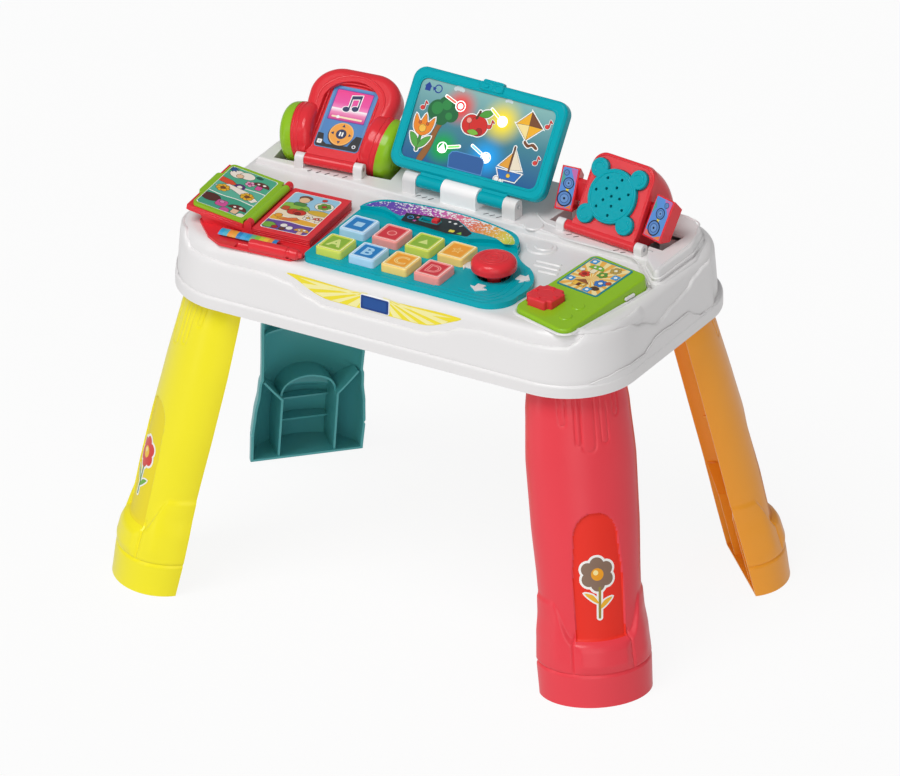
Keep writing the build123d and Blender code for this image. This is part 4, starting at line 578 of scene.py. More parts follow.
def leg_relief(s, z):
    """How far the outer skin stands off the plain leg, in mm."""
    away = abs(s)
    # The sunk panel, and the groove round the foot.
    out = -PANEL_DEPTH * ease(-0.5, 0.5, arch_half(z) - away) * ease(ARCH_LOW - 0.4, ARCH_LOW + 0.8, z)
    out -= 1.3 * exp(-((z - 31.5) / 1.2) ** 2)
    # The middle petal: a groove down each of its sides and a low dome between them.
    if z < 72:
        out -= 1.5 * exp(-((away - 25.5) / 1.0) ** 2) * ease(31, 34, z) * ease(72, 66, z)
        out += 1.9 * ease(25, 17, away) * ease(32, 41, z) * ease(61, 53, z)
    # The petals at the sides, and the drips' outlines under the top.
    out += 1.5 * exp(-((away - 40) / 9) ** 2) * ease(31, 46, z) * ease(92, 74, z)
    for middle, half, end in DRIPS:
        gap = abs(abs(s - middle) - half) if z > end else abs(hypot(s - middle, z - end) - half)
        out -= 1.0 * exp(-(gap / 0.8) ** 2) * ease(236, 242, z)
    return out


def leg_section(s, z, fall):
    """Width and depth of a leg at a height: the boot's below its arched cuff, the shaft's above."""
    (shaft_width, shaft_depth), (boot_width, boot_depth) = between(SHAFT, z), between(BOOT, z)
    cuff = 62 + 33 * ease(26, 46, abs(s))
    share = ease(cuff + 2, cuff - fall, z)
    return shaft_width + (boot_width - shaft_width) * share, shaft_depth + (boot_depth - shaft_depth) * share


def leg_at(quadrant, out, over, z):
    """Point of a leg: out towards its corner from the open edge, over across it."""
    sx, sy = quadrant
    lean = SPREAD * (LEG_TOP - z) / LEG_TOP
    return Vector((sx * (LEG_X + lean) + (out * sx - over * sy) / sqrt(2),
                   sy * (LEG_Y + lean) + (out * sy + over * sx) / sqrt(2), z)) * MM


def round_leg(t, z):
    """How far round the leg's face an angle lies, in mm from its middle."""
    return between(SHAFT, z)[0] / 2 * t * 0.93


def leg_point(quadrant, t, z, proud=0.0, skin=True):
    """Point of a leg's wall at the angle t round its half-ellipse, from one open edge to the other."""
    s = round_leg(t, z)
    width, depth = leg_section(s, z, 4)
    extra = (leg_relief(s, z) if skin else 0) + proud
    return leg_at(quadrant, (depth + extra) * cos(t), (width / 2 + extra) * sin(t), z)


def steps(*spans):
    """Rising values through spans of (start, end, step)."""
    values = []
    for start, end, step in spans:
        count = round((end - start) / step)
        values += [start + (end - start) * i / count for i in range(count)]
    return values + [spans[-1][1]]


def wall_depth(over, z):
    """How deep the channel is at a place across it."""
    width, depth = leg_section(over, z, 6)
    return (depth - 2.2) * sqrt(max(0.02, 1 - (over / (width / 2 - 1.5)) ** 2))


def web(work, quadrant, line, front, thick=2.0):
    """Stiffening web: follows a line across the channel, from its front edge back into the wall."""
    rows = []
    for i, (over, z) in enumerate(line):
        a, b = Vector(line[max(i - 1, 0)]), Vector(line[min(i + 1, len(line) - 1)])
        run = (b - a).normalized()
        up = Vector((-run.y, run.x)) * thick / 2
        start = front(over, z)
        row = []
        for sign in (-1, 1):
            o, h = over + sign * up.x, z + sign * up.y
            row.append(work.verts.new(leg_at(quadrant, start, o, h)))
            row.append(work.verts.new(leg_at(quadrant, max(start + 1, wall_depth(o, h)), o, h)))
        rows.append(row)
    for a, b in zip(rows, rows[1:]):
        for i, j in ((0, 1), (1, 3), (3, 2), (2, 0)):
            work.faces.new((a[i], a[j], b[j], b[i]))
    work.faces.new([rows[0][i] for i in (0, 2, 3, 1)])
    work.faces.new([rows[-1][i] for i in (0, 1, 3, 2)])


HEIGHTS = steps((0, 24, 4), (24, 108, 1.1), (108, 150, 3.5), (150, 190, 1.4), (190, 236, 4), (236, 299, 1.3))
OUTER, INNER = 161, 33  # points round the outer and the inner face
RIB = 27  # each upright web from the middle


def build_leg(name, quadrant, plastic, sunk_plastic, slot):
    """One leg in place of its CAD node: outer face, inner face, rims and webs."""
    work = bmesh.new()
    outer = [[work.verts.new(leg_point(quadrant, -pi / 2 + pi * i / (OUTER - 1), z)) for i in range(OUTER)]
             for z in HEIGHTS]
    inner = [[work.verts.new(leg_point(quadrant, -pi / 2 + pi * i / (INNER - 1), min(max(z, WALL), LEG_TOP - 1), -WALL,
                                       False)) for i in range(INNER)] for z in HEIGHTS]
    for row, (z0, z1) in enumerate(zip(HEIGHTS, HEIGHTS[1:])):
        for i in range(OUTER - 1):
            face = work.faces.new((outer[row][i], outer[row][i + 1], outer[row + 1][i + 1], outer[row + 1][i]))
            middle = (z0 + z1) / 2
            s = round_leg(-pi / 2 + pi * (i + 0.5) / (OUTER - 1), middle)
            if middle > ARCH_LOW + 0.3 and arch_half(middle) - abs(s) > 0.1:
                face.material_index = 1
        for i in range(INNER - 1):
            work.faces.new((inner[row][i], inner[row + 1][i], inner[row + 1][i + 1], inner[row][i + 1]))
        for side in (0, -1):
            work.faces.new((outer[row][side], outer[row + 1][side], inner[row + 1][side], inner[row][side]))
    for end in (0, -1):
        work.faces.new(outer[end])
        work.faces.new(inner[end])
        work.faces.new((outer[end][0], inner[end][0], inner[end][-1], outer[end][-1]))
    # Inside: an upright web on each side that bends out over the boot, an arch between them and two shelves under it.
    for side in (-1, 1):
        web(work, quadrant, [(side * RIB, z) for z in (2, 30, 70)], lambda over, z: 1.5)
        web(work, quadrant, [(side * RIB, 69), (side * 36, 80), (side * 46, 93)], lambda over, z: 1.5)
    arch = curve_points([(-RIB, 62), (-25, 76), (-17, 84), (0, 87.5), (17, 84), (25, 76), (RIB, 62)], 5)
    web(work, quadrant, arch, lambda over, z: 9 + 5 * (1 - (over / RIB) ** 2))
    for high, front in ((28, 30), (52, 33)):
        web(work, quadrant, [(-RIB, high), (0, high), (RIB, high)], lambda over, z: front)
    # Further up, two ledges run from wall to wall.
    for high in (143, 238):
        half = between(SHAFT, high)[0] / 2 - 4

        def hollowed(over, z):
            """Front of a ledge, cut back further in its middle."""
            return max(0.8, wall_depth(over, z) - 3.5 - 15 * (1 - (over / half) ** 2))

        web(work, quadrant, [(half * (i / 12 - 1), high) for i in range(25)], hollowed, 2.2)
    piece = make_piece(name.replace("leg_", "moulded_leg_"), work, [plastic, sunk_plastic], "table", slot, 40)
    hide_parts(name)


LEGS = {
    "leg_front_left": ((-1, -1), "F7EA1C", "EFDB26", "leg_yellow"),
    "leg_front_right": ((1, -1), "EC404C", "EE2F1E", "leg_red"),
    "leg_back_left": ((-1, 1), "4DA3A7", "3F9398", "leg_teal"),
    "leg_back_right": ((1, 1), "FFA72E", "F29428", "leg_orange"),
}
# Polypropylene: waxy and slightly translucent, so its gloss is soft; the sunk panels are eroded matter.
for name, (quadrant, colour, sunk, slot) in LEGS.items():
    build_leg(name, quadrant, moulded(f"polypropylene {slot}", colour, 0.3, 0.01, 0.02, shine=0.4),
              moulded(f"polypropylene panel {slot}", sunk, 0.5, 0.03, 0.02, shine=0.3), slot)


# Leg stickers: vinyl film printed with a plain flower on its stem and cut out with a white margin, stuck in the sunk
# panels of the two front legs.
def on_leg(quadrant):
    """On a leg's sunk panel: x mm round it, y the height."""
    def place(x, y, h=0.0):
        return leg_point(quadrant, x / round_leg(1, y), y, h - PANEL_DEPTH + 0.05, False)
    return place


def flower(x, y, size, petals, ink, heart):
    """Six round petals about a heart, with a white margin."""
    layers = []
    for grow, level, colour in ((2.2, 0, "F8F6F2"), (0, 1, ink)):
        for i in range(6):
            a = radians(90 + 60 * i)
            layers.append((level, colour, fill(disc(x + size * cos(a), y + size * sin(a), petals + grow, 24))))
        layers.append((level, colour, fill(disc(x, y, size + grow * 0.5, 24))))
    layers.append((2, heart, fill(disc(x, y, size * 0.62, 24))))
    layers.append((3, "FBE9A0", fill(disc(x - size * 0.15, y + size * 0.18, size * 0.25, 18))))
    return layers


def stem(x, y0, y1, ink, leaf):
    """Stem with two leaves, with a white margin."""
    layers = [(0, "F8F6F2", fill(bar(x, y0, x + 1.5, y1, 6))), (1, ink, fill(bar(x, y0, x + 1.5, y1, 2.4)))]
    for side, high in ((1, 0.35), (-1, 0.55)):
        base = y0 + (y1 - y0) * high
        points = ((0, -2), (6, 1), (13, 8), (5, 6))
        blade = curve_points([(x + side * across, base + up) for across, up in points], 5, True)
        layers += [(0, "F8F6F2", fill(shrink(blade, -1.44))), (1, leaf, fill(blade))]
    return layers


printed("sticker_front_right", "table", on_leg((1, -1)),
        flower(-1, 125, 9.5, 6.6, "8A6E5C", "F0A020") + stem(-1, 84, 112, "9C8A3A", "F2B52E"), "picture", 3)
printed("sticker_front_left", "table", on_leg((-1, -1)),
        flower(0, 128, 9, 6.2, "D9352E", "F4C02A") + stem(0, 86, 114, "4B8E2C", "6DB033"), "picture", 3)


# Keyboard: a glossy teal ABS panel screwed on the deck, with a printed film along its raised band, a red slide switch,
# a red joystick with three arrows about it, and three fine ridges that run along the front and round the corner.
# Gloss ABS has deep, even colours that mirror the sky in soft patches; silicone rubber is matt, acetal a dull black.
teal_abs = moulded("teal ABS, gloss moulded", "00AAB8", 0.22, 0.008, 0.02, shine=0.18)
TEAL = teal_abs, "teal"
dress(teal_abs, "keyboard_panel")
dress(moulded("grey silicone rubber", "BDBDBA", 0.7, 0.1), "key_mat")
red_abs = moulded("red ABS, gloss moulded", "E8343D", 0.2, 0.008, 0.02, shine=0.35)
RED = red_abs, "red"
dress(red_abs, "power_switch", "joystick")
dress(moulded("black acetal", "1D1D1F", 0.5, 0.05), "joystick_gimbal")
panel_top, band_top = flat_place(0, 0, 368), flat_place(0, 0, 372)
for number, (inset, start, radius) in enumerate(((4.0, -84, 0.9), (10.0, 52, 0.8), (16.0, 74, 0.8))):
    front = inset - 125
    line = curve_points([(start, front), (max(start + 12, -20), front), (max(start + 22, 60), front), (102, front),
                         (119 - inset * 0.7, inset * 0.6 - 116), (128 - inset, -94), (126 - inset, -66),
                         (112 - inset * 0.8, -44)], 8)
    ridge(f"keyboard_ridge_{number}", "table", panel_top, line, radius, TEAL)

# Confetti film: the ink runs through the rainbow along the band, with white flecks 2.4 mm apart that thicken towards
# the back until they nearly hide it.
confetti, tree, shader = new_material("printed vinyl film, confetti")
place = add(tree, "TexCoord").outputs["Object"]
split = add(tree, "SeparateXYZ", {0: place})
along = add(tree, "MapRange", {"Value": split.outputs["X"], "From Min": -0.085, "From Max": 0.078})
hues = add(tree, "ValToRGB", {0: along.outputs[0]})
hues.color_ramp.elements[0].color = linear("4A4FC0")
hues.color_ramp.elements[1].color = linear("A8C83A")
for position, colour in ((0.22, "7A3FB4"), (0.42, "C74BB4"), (0.58, "EE6A8A"), (0.72, "F2803C"), (0.84, "F4B93A"),
                         (0.93, "E6DC4A")):
    hues.color_ramp.elements.new(position).color = linear(colour)
flecks = add(tree, "TexVoronoi", {"Vector": place, "Scale": 1 / (2.4 * MM), "Randomness": 1.0}).outputs["Distance"]
deep = add(tree, "MapRange", {"Value": split.outputs["Y"], "From Min": -0.014, "From Max": 0.014, "To Min": 0.2,
                              "To Max": 0.56})
white = add(tree, "Math", {0: flecks, 1: deep.outputs[0]}, operation="LESS_THAN")
inked = add(tree, "Mix", {0: white.outputs[0], 6: hues.outputs[0], 7: linear("F7F5F4")}, data_type="RGBA")
tree.links.new(inked.outputs[2], shader.inputs["Base Color"])
shader.inputs["Roughness"].default_value = 0.35


def star(x, y, outer, inner, points=5):
    """Star outline with its first point upwards."""
    loop = []
    for i in range(2 * points):
        a, r = radians(90 + i * 180 / points), inner if i % 2 else outer
        loop.append((x + r * cos(a), y + r * sin(a)))
    return loop


# The film's outline, back and front; then the dark field round the switch and its small signs.
band_film = curve_points([(-84, -13), (-77, -1), (-57, 8.5), (-30, 13.2), (-2, 15.2), (28, 13.2), (53, 8.5), (70, 0),
                          (78, -10), (77.5, -14)], 6)
band_front = [
    (70, -16.5), (58, -10), (44, -9), (30, -10), (20, -3), (9, 3.5), (-12, 0), (-38, -7), (-44, -15), (-52, -13),
    (-66, -6), (-78, -12.5)]
ink_strip = [(-42, -7), (-39, -23), (-13, -23), (11, -24.4), (32, -21), (33, -13), (8, 3.6), (-12, -0.4)]
slot_hole = rounded(-23.8, -12.4, -5.2, -7.6, 0.6)
symbols = [
    (0, confetti, fill(band_film + band_front)), (0, "23242A", fill(ink_strip, slot_hole)),
    (1, "4C9BD6", fill(disc(-34, -13, 3.2), disc(-34, -13, 2.3))), (1, "4C9BD6", fill(bar(-34, -12, -34, -9.4, 0.7))),
    (1, "C75AB0", fill(star(-27.5, -17, 2.3, 1.1))), (1, "E36A8A", fill(disc(-27.8, -9.6, 1.5))),
    (1, "F3E04A", fill(rounded(11, -20.5, 16.5, -16, 0.8))),
    (1, "8CC63F", fill([(20, -20.6), (25.6, -20.6), (22.8, -15.6)])), (1, "F4F4F2", fill(disc(3, -3, 1.4))),
    (1, "F4F4F2", fill(disc(9.5, -3.6, 1.7))), (1, "F4F4F2", fill(bar(15.5, -6, 17.2, -4, 1.1)))]
printed("band_film", "table", band_top, symbols)
printed("switch_field", "table", band_top, [(2, "0E8B95", fill(rounded(-25.6, -15.2, -3.4, -4.8, 3), slot_hole))],
        "teal")
# A low arrow at each free side of the joystick, and three rings moulded on its knob.
arrow = [(-3.8, -5.2), (-3.8, 0.4), (-7.8, 0.4), (0, 6.6), (7.8, 0.4), (3.8, 0.4), (3.8, -5.2)]


def turned(loop, x, y, angle, size=1.0):
    """The loop turned and resized about its own origin, then moved."""
    c, s = cos(radians(angle)) * size, sin(radians(angle)) * size
    return [(x + c * px - s * py, y + s * px + c * py) for px, py in loop]


for number, (x, y, a) in enumerate(((60, -65, 90), (91, -99, 180), (118, -62.5, 270))):
    relief(f"joystick_arrow_{number}", "table", panel_top, turned(arrow, x, y, a, 1.15), 1.3, WHITE, 0.35)
for number, radius in enumerate((3.6, 8.6, 13.4)):
    ridge(f"stick_ring_{number}", "stick", flat_place(90, -69, 386.9), disc(0, 0, radius, 48), 0.75, RED, True)


# Keys: clear tinted polystyrene caps that glow softly over the silicone mat. Under each lies a plate printed with a
# coloured field, its frame and a pale sign, and a pale ring on the cap's rim is a painted highlight.
def letter(character, size, bold):
    """A letter of the default face as triangles, about its own middle."""
    curve = bpy.data.curves.new("letter", "FONT")
    curve.body = character
    curve.size = size
    curve.offset = bold * size
    holder = bpy.data.objects.new("letter", curve)
    bpy.context.scene.collection.objects.link(holder)
    mesh = bpy.data.meshes.new_from_object(holder.evaluated_get(bpy.context.evaluated_depsgraph_get()))
    mesh.calc_loop_triangles()
    points = [(v.co.x, v.co.y) for v in mesh.vertices]
    triangles = [tuple(t.vertices) for t in mesh.loop_triangles]
    bpy.data.objects.remove(holder)
    bpy.data.curves.remove(curve)
    cx = (min(p[0] for p in points) + max(p[0] for p in points)) / 2
    cy = (min(p[1] for p in points) + max(p[1] for p in points)) / 2
    return [(px - cx, py - cy) for px, py in points], triangles


def clear_cap(name, colour):
    """Tinted clear polystyrene over a lamp: pale, glossy and lit from inside, a little cloudy over 12 mm."""
    material, tree, shader = new_material(name)
    place = add(tree, "TexCoord").outputs["Object"]
    cloud = add(tree, "TexNoise", {"Vector": place, "Scale": 1 / (12 * MM)}).outputs["Fac"]
    base = linear(colour)
    shade = add(tree, "Mix", {0: cloud, 6: [c * 0.93 for c in base[:3]] + [1], 7: base}, data_type="RGBA").outputs[2]
    tree.links.new(shade, shader.inputs["Base Color"])
    tree.links.new(shade, shader.inputs["Emission Color"])
    shader.inputs["Emission Strength"].default_value = 0.14
    shader.inputs["Roughness"].default_value = 0.16
    shader.inputs["IOR"].default_value = 1.55
    shader.inputs["Subsurface Weight"].default_value = 0.35
    shader.inputs["Subsurface Radius"].default_value = (4 * MM, 4 * MM, 4 * MM)
    return material


# Of each colour: the cap, the plate, the frame, the sign and the painted highlight on the rim.
TINTS = {"green": ("D3DC5E", "8DB63A", "A6C838", "D9E48A", "F1F4BE"),
         "blue": ("B4D9F2", "1B7CC0", "2C93D6", "A9D6F2", "E6F3FC"),
         "orange": ("F6D57F", "F0A030", "F3AE48", "FAD98C", "FDF0CC"),
         "red": ("F29C96", "D33440", "E04A50", "F3A09C", "FCD8D4")}
KEYS = {"key_letter_a": ("green", "A"), "key_letter_b": ("blue", "B"), "key_letter_c": ("orange", "C"),
        "key_letter_d": ("red", "D"), "key_square": ("blue", "square"), "key_circle": ("red", "circle"),
        "key_triangle": ("green", "triangle"), "key_star": ("orange", "star")}
SIGNS = {"square": fill(rounded(-4.4, -4.4, 4.4, 4.4, 0.6)), "circle": fill(disc(0, 0, 4.8)),
         "triangle": fill([(-5.2, -4.2), (5.2, -4.2), (0, 4.9)]), "star": fill(star(0, 0, 6.2, 2.8))}
KEY_TOP = 375.6
cap_plastic = {colour: clear_cap(f"clear tinted polystyrene {colour}", tints[0]) for colour, tints in TINTS.items()}
field, field_hole = rounded(-10.6, -12.2, 10.6, 12.2, 1.2), rounded(-9.5, -11.1, 9.5, 11.1, 0.8)
# The rim ring: a painted highlight along the top edge of the clear cap.
rim, rim_hole = rounded(-12.7, -14.4, 12.7, 14.4, 2.2), rounded(-11.7, -13.4, 11.7, 13.4, 1.6)
for name, (colour, sign) in KEYS.items():
    _, plate, border, pale, rim_highlight_ink = TINTS[colour]
    dress(cap_plastic[colour], name)
    dress(film(pale), f"{name}_plate")
    low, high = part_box(name)
    top = flat_place((low.x + high.x) / 2 / MM, (low.y + high.y) / 2 / MM, KEY_TOP)
    if sign in SIGNS:
        shape = SIGNS[sign]
        inner = [(x * 0.78, y * 0.78) for x, y in shape[0]], shape[1]
    else:
        shape, inner = letter(sign, 20, 0.03), letter(sign, 20, -0.02)
    inner_ink = film(border if colour in ("red", "orange") else pale, 0.06)
    printed(f"{name}_sign", name.replace("key_", "button_"), top,
            [(0, film(plate, 0.1), fill(field)), (1, film(border, 0.06), fill(field, field_hole)),
             (2, film(pale, 0.12), shape), (12, film(rim_highlight_ink, 0.1), fill(rim, rim_hole)), (3, inner_ink, inner)],
            f"plate_{colour}")


# Book: a red tray and cover, a fixed stack of red pages and one green leaf that turns on a steel pin. Pictures in
# three strips are printed on the cover, the leaf and the top page, and a striped film lies behind the pen.
dress(red_abs, "book_base", "book_pen")
green_abs = moulded("green ABS, gloss moulded", "94C524", 0.22, 0.008, 0.02, shine=0.35)
GREEN = green_abs, "green"
dress(green_abs, "book_page")
# Zinc-plated steel: a grey metal with a soft, slightly uneven shine.
steel = moulded("zinc-plated steel pin", "B9BCC0", 0.35, 0.02, 0.06)
steel.node_tree.nodes["Principled BSDF"].inputs["Metallic"].default_value = 1.0
dress(steel, "book_pin", "player_hinge_pin", "tablet_hinge_pin", "speaker_hinge_pin", "housing_screws",
      "battery_door_screw", "battery_contacts")
SPINE_X, SPINE_Y, book_turn = -161, -61, radians(4)
STACK_TOP = 10.3  # the top page above the deck
# The leaf: its lean, its width, its face above its pin, and the pin above the deck.
leaf_lean, LEAF_WIDTH, LEAF_FACE, LEAF_PIN = radians(8.5), 60, 1.5, 12


def book_place(x, y, z):
    """In the book's own frame: x to the right of its spine, y back from its middle, z above the deck."""
    return Vector((SPINE_X + cos(book_turn) * x - sin(book_turn) * y, SPINE_Y + sin(book_turn) * x + cos(book_turn) * y,
                   DECK + z)) * MM


def stack_place(x, y, h=0.0):
    """On the top page of the fixed stack."""
    return book_place(x, y, STACK_TOP + h)


def leaf_place(x, y, h=0.0):
    """On the leaf: x runs to the right along it, from its outer edge to the spine."""
    away = LEAF_WIDTH - x
    rise = LEAF_FACE + h
    return book_place(-away * cos(leaf_lean) + rise * sin(leaf_lean), y,
                      LEAF_PIN + away * sin(leaf_lean) + rise * cos(leaf_lean))


def blossom(x, y, r, ink, heart, count=5, turn=0):
    """Round petals about a heart."""
    shapes = []
    for i in range(count):
        a = radians(turn + 360 * i / count)
        shapes.append((ink, disc(x + r * 0.62 * cos(a), y + r * 0.62 * sin(a), r * 0.42, 16)))
    return shapes + [(heart, disc(x, y, r * 0.36, 16))]


def toadstool(x, y, r, ink, foot="F6E8D2"):
    """Cap with pale dots on a stout foot."""
    cap = [(x + r * cos(pi * i / 14), y + r * 0.8 * sin(pi * i / 14)) for i in range(15)]
    dots = [("FFF6EA", disc(x + r * dx, y + r * dy, r * size, 12))
            for dx, dy, size in ((-0.35, 0.34, 0.16), (0.3, 0.42, 0.2))]
    return [(foot, rounded(x - r * 0.34, y - r * 0.9, x + r * 0.34, y + 0.4, r * 0.2)), (ink, cap)] + dots


def cottage(x, y, r, wall, roof):
    """Small house with a door and a window."""
    return [(wall, [(x - r, y - r * 0.8), (x + r, y - r * 0.8), (x + r, y + r * 0.3), (x - r, y + r * 0.3)]),
            (roof, [(x - r * 1.25, y + r * 0.25), (x + r * 1.25, y + r * 0.25), (x, y + r * 1.15)]),
            ("6E3B2E", rounded(x - r * 0.25, y - r * 0.8, x + r * 0.25, y - r * 0.05, r * 0.12)),
            ("FCE9A8", rounded(x + r * 0.45, y - r * 0.4, x + r * 0.85, y, 0.1))]


def clipped(loop, x0, y0, x1, y1):
    """The part of a loop inside a rectangle."""
    for axis, limit, keep in ((0, x0, 1), (0, x1, -1), (1, y0, 1), (1, y1, -1)):
        kept = []
        for a, b in zip(loop, loop[1:] + loop[:1]):
            ina, inb = keep * (a[axis] - limit) >= 0, keep * (b[axis] - limit) >= 0
            if ina:
                kept.append(a)
            if ina != inb:
                t = (limit - a[axis]) / (b[axis] - a[axis])
                kept.append((a[0] + (b[0] - a[0]) * t, a[1] + (b[1] - a[1]) * t))
        loop = kept
        if not loop:
            return []
    return loop


def strips(x0, y0, x1, y1, rows, spots, border, ink="2A1B20"):
    """A picture of stacked strips with wavy white lines between them, and spots of colour outlined in ink."""
    layers = [(0, "FBF8F2", fill(rounded(x0, y0, x1, y1, 3.0)))]
    x0, y0, x1, y1 = x0 + border, y0 + border, x1 - border, y1 - border
    edge = y1
    for number, (share, colour) in enumerate(rows):
        low = edge - (y1 - y0) * share
        if number == len(rows) - 1:
            lower = [(x0, y0 + 2.5), (x0 + 2.5, y0), (x1 - 2.5, y0), (x1, y0 + 2.5)]
        else:
            lower = [(x0 + (x1 - x0) * i / 10, low + 0.8 * sin(i * 0.9 + number * 2)) for i in range(11)]
        if number:
            upper = [(x1 - (x1 - x0) * i / 10, edge - 1.3 + 0.8 * sin((10 - i) * 0.9 + (number - 1) * 2))
                     for i in range(11)]
        else:
            upper = [(x1, edge - 2.5), (x1 - 2.5, edge), (x0 + 2.5, edge), (x0, edge - 2.5)]
        layers.append((1, colour, fill(lower + upper)))
        edge = low
    for colour, loop in spots:
        for level, shade, outline in ((2, ink, shrink(loop, -0.42)), (3, colour, loop)):
            shape = clipped(outline, x0, y0, x1, y1)
            if len(shape) > 2:
                layers.append((level, shade, fill(shape)))
    return layers


def stacked(layers):
    """Each shape lies a level above the earlier ones that it could overlap."""
    done = []
    for _, ink, shape in layers:
        xs, ys = zip(*shape[0])
        box = min(xs), max(xs), min(ys), max(ys)
        under = [level for level, (a, b, c, d), _, _ in done if a < box[1] and box[0] < b and c < box[3] and box[2] < d]
        done.append((1 + max(under, default=-1), box, ink, shape))
    return [(level, ink, shape) for level, _, ink, shape in done]


def book_picture(name, body, place, edges, rows, spots, border=0.5):
    """A picture thinner than the other prints, because leaf, pages and cover close on each other."""
    printed(name, body, place, stacked(strips(*edges, rows, spots, border)), base=0.015, layer=0.0035)


left_spots = [
    ("F7EDE0", disc(13, 29, 8, 24, 0.85)), ("F7EDE0", disc(22, 31, 7.4, 24, 0.8)), ("2E5C9E", star(6, 35, 4.6, 2.2, 8)),
    ("F2C49E", disc(16, 27, 3.4, 18)), ("1F5F50", disc(33, 35, 3.4, 18, 0.6)),
    *toadstool(40, 22, 8.6, "6B2E2A", "E0559E"), *blossom(30, 20, 4.6, "F2A6C8", "D23C86"),
    ("E2502E", [(1, 17), (14, 15.5), (21, 11), (14, 7), (1, 9)]), ("5B2F7A", disc(24.5, 9, 5.2, 24)),
    ("F7EDE0", disc(24.5, 9, 2.6, 18)), ("F7EDE0", [(3, -1), (20, 1), (46, -10), (50, -4), (36, 5), (14, 8)]),
    *blossom(12, -1.5, 6.4, "F0B42A", "7B4B2A", 7), *blossom(38, -2.5, 6.4, "F0B42A", "7B4B2A", 7, 20),
    ("5A2C28", disc(10, -23, 9.6, 28, 0.72)), ("D8559C", rounded(18, -33, 29, -22, 3)),
    ("E48ABC", disc(23, -25, 2.4, 16)), *toadstool(40, -29, 9.4, "6B2E2A", "F2C49E"),
    ("D8559C", disc(31, -37, 4.6, 20)), ("F7EDE0", disc(48, -37, 4, 18))]
leaf_edges = (1.8, -39.6, 51, 39.6)
book_picture("leaf_picture", "leaf", leaf_place, leaf_edges, ((0.36, "4FB08E"), (0.3, "63B99E"), (0.34, "45A588")),
             left_spots)
right_spots = [
    ("8FC24B", disc(22, 9, 16, 30, 0.55)), ("7A4A30", disc(25, 30, 6.4, 24, 0.7)), ("F2C79A", disc(25, 26, 5.2, 22)),
    ("4C8F46", rounded(19, 14, 31, 20.4, 2)), ("D8402F", disc(43, 33, 2.4, 16)),
    ("F9F2DC", disc(48, 21.5, 9.2, 30, 0.86)), *blossom(48, 21.5, 6.4, "6FA83C", "C0392B", 6),
    ("DDB53C", disc(50, 7, 12, 30, 0.4)), ("D23A2C", disc(26, 1, 6.6, 26, 0.86)),
    ("D23A2C", disc(32, 1, 6.2, 26, 0.86)), ("8E211D", disc(31, -1.5, 3, 18)),
    ("5B8F34", [(27, 5), (30, 10), (35, 9), (31, 6)]), ("C9502E", rounded(12, 1, 19, 9, 2.4)),
    *blossom(44, -5, 4.8, "F7F0E4", "E8B93A"), *toadstool(54.5, -5.5, 5.4, "D9432F"),
    ("E87A3A", [(17, -17), (34, -9.5), (38, -12.5), (30, -18.5)]), ("F0A22E", disc(16, -11, 3.6, 18)),
    ("7CB342", disc(16, -32, 6.8, 24, 0.8)), ("B3212A", disc(23, -34, 3, 16)), ("F5F0EA", disc(30, -28, 3.4, 18)),
    ("F5F0EA", disc(37, -31, 3.4, 18)), ("6E3B2E", disc(31, -35, 3, 16)), *toadstool(50, -33, 7.6, "E0A03A", "F2C0A8")]
book_picture("page_picture", "table", stack_place, (9.5, -39.4, 58.5, 38.6),
             ((0.37, "9CCFE8"), (0.26, "F6E6C8"), (0.12, "F2B33A"), (0.25, "6C4CA0")), right_spots, 0.7)
back_spots = [
    *blossom(12, 24, 7.5, "F2A6C8", "D23C86", 6), *toadstool(37, 22, 8.5, "D9432F"),
    *cottage(25, -5, 8, "F7E2B0", "C9502E"), *blossom(44, -4, 5.4, "F0B42A", "7B4B2A", 7),
    ("F7EDE0", disc(9, -3, 4.6, 20, 0.8)), ("7CB342", disc(13, -29, 8.4, 24, 0.7)), ("F5F0EA", disc(33, -31, 4.4, 18)),
    ("5B2F7A", disc(43, -27, 5, 24)), ("E2502E", rounded(22, -36, 28, -27, 2))]
book_picture("leaf_back_picture", "leaf", lambda x, y, h=0.0: leaf_place(52.8 - x, y, -3.0 - h), leaf_edges,
             ((0.38, "BFE0EE"), (0.3, "F6E6C8"), (0.32, "9CCB62")), back_spots)
cover_spots = [
    *cottage(15, 24, 8.5, "F4C27A", "6C4CA0"), *toadstool(39, 21, 8, "E0A03A"), *blossom(13, -3, 7, "5FA03C", "F7E07A"),
    ("E0559E", disc(33, -1, 6, 24)), ("2E5C9E", star(45, 3, 4.8, 2.3, 6)), ("8E211D", disc(45, -28, 4.6, 20)),
    *blossom(30, -28, 6.4, "F7EDE0", "F0B42A", 6), ("4C8F46", disc(12, -30, 7.6, 24, 0.8))]
book_picture("cover_picture", "table", lambda x, y, h=0.0: leaf_place(x, y, h - 3.25), (3.4, -39.6, 51, 39.6),
             ((0.34, "9CCFE8"), (0.32, "FBE7A6"), (0.34, "E88AA8")), cover_spots)


BOOK_FRONT, TRAY_BAR = -45, -55.4  # front of the pages and the cover; middle of the rounded bar before them


def roller(x, y, h=0.0):
    """On the rounded bar along the tray's front: x along it, y units of 14 degrees round it."""
    a = radians(y * 14)
    return book_place(x, TRAY_BAR + (6.8 + h) * sin(a), 2.3 + (5.5 + h) * cos(a))


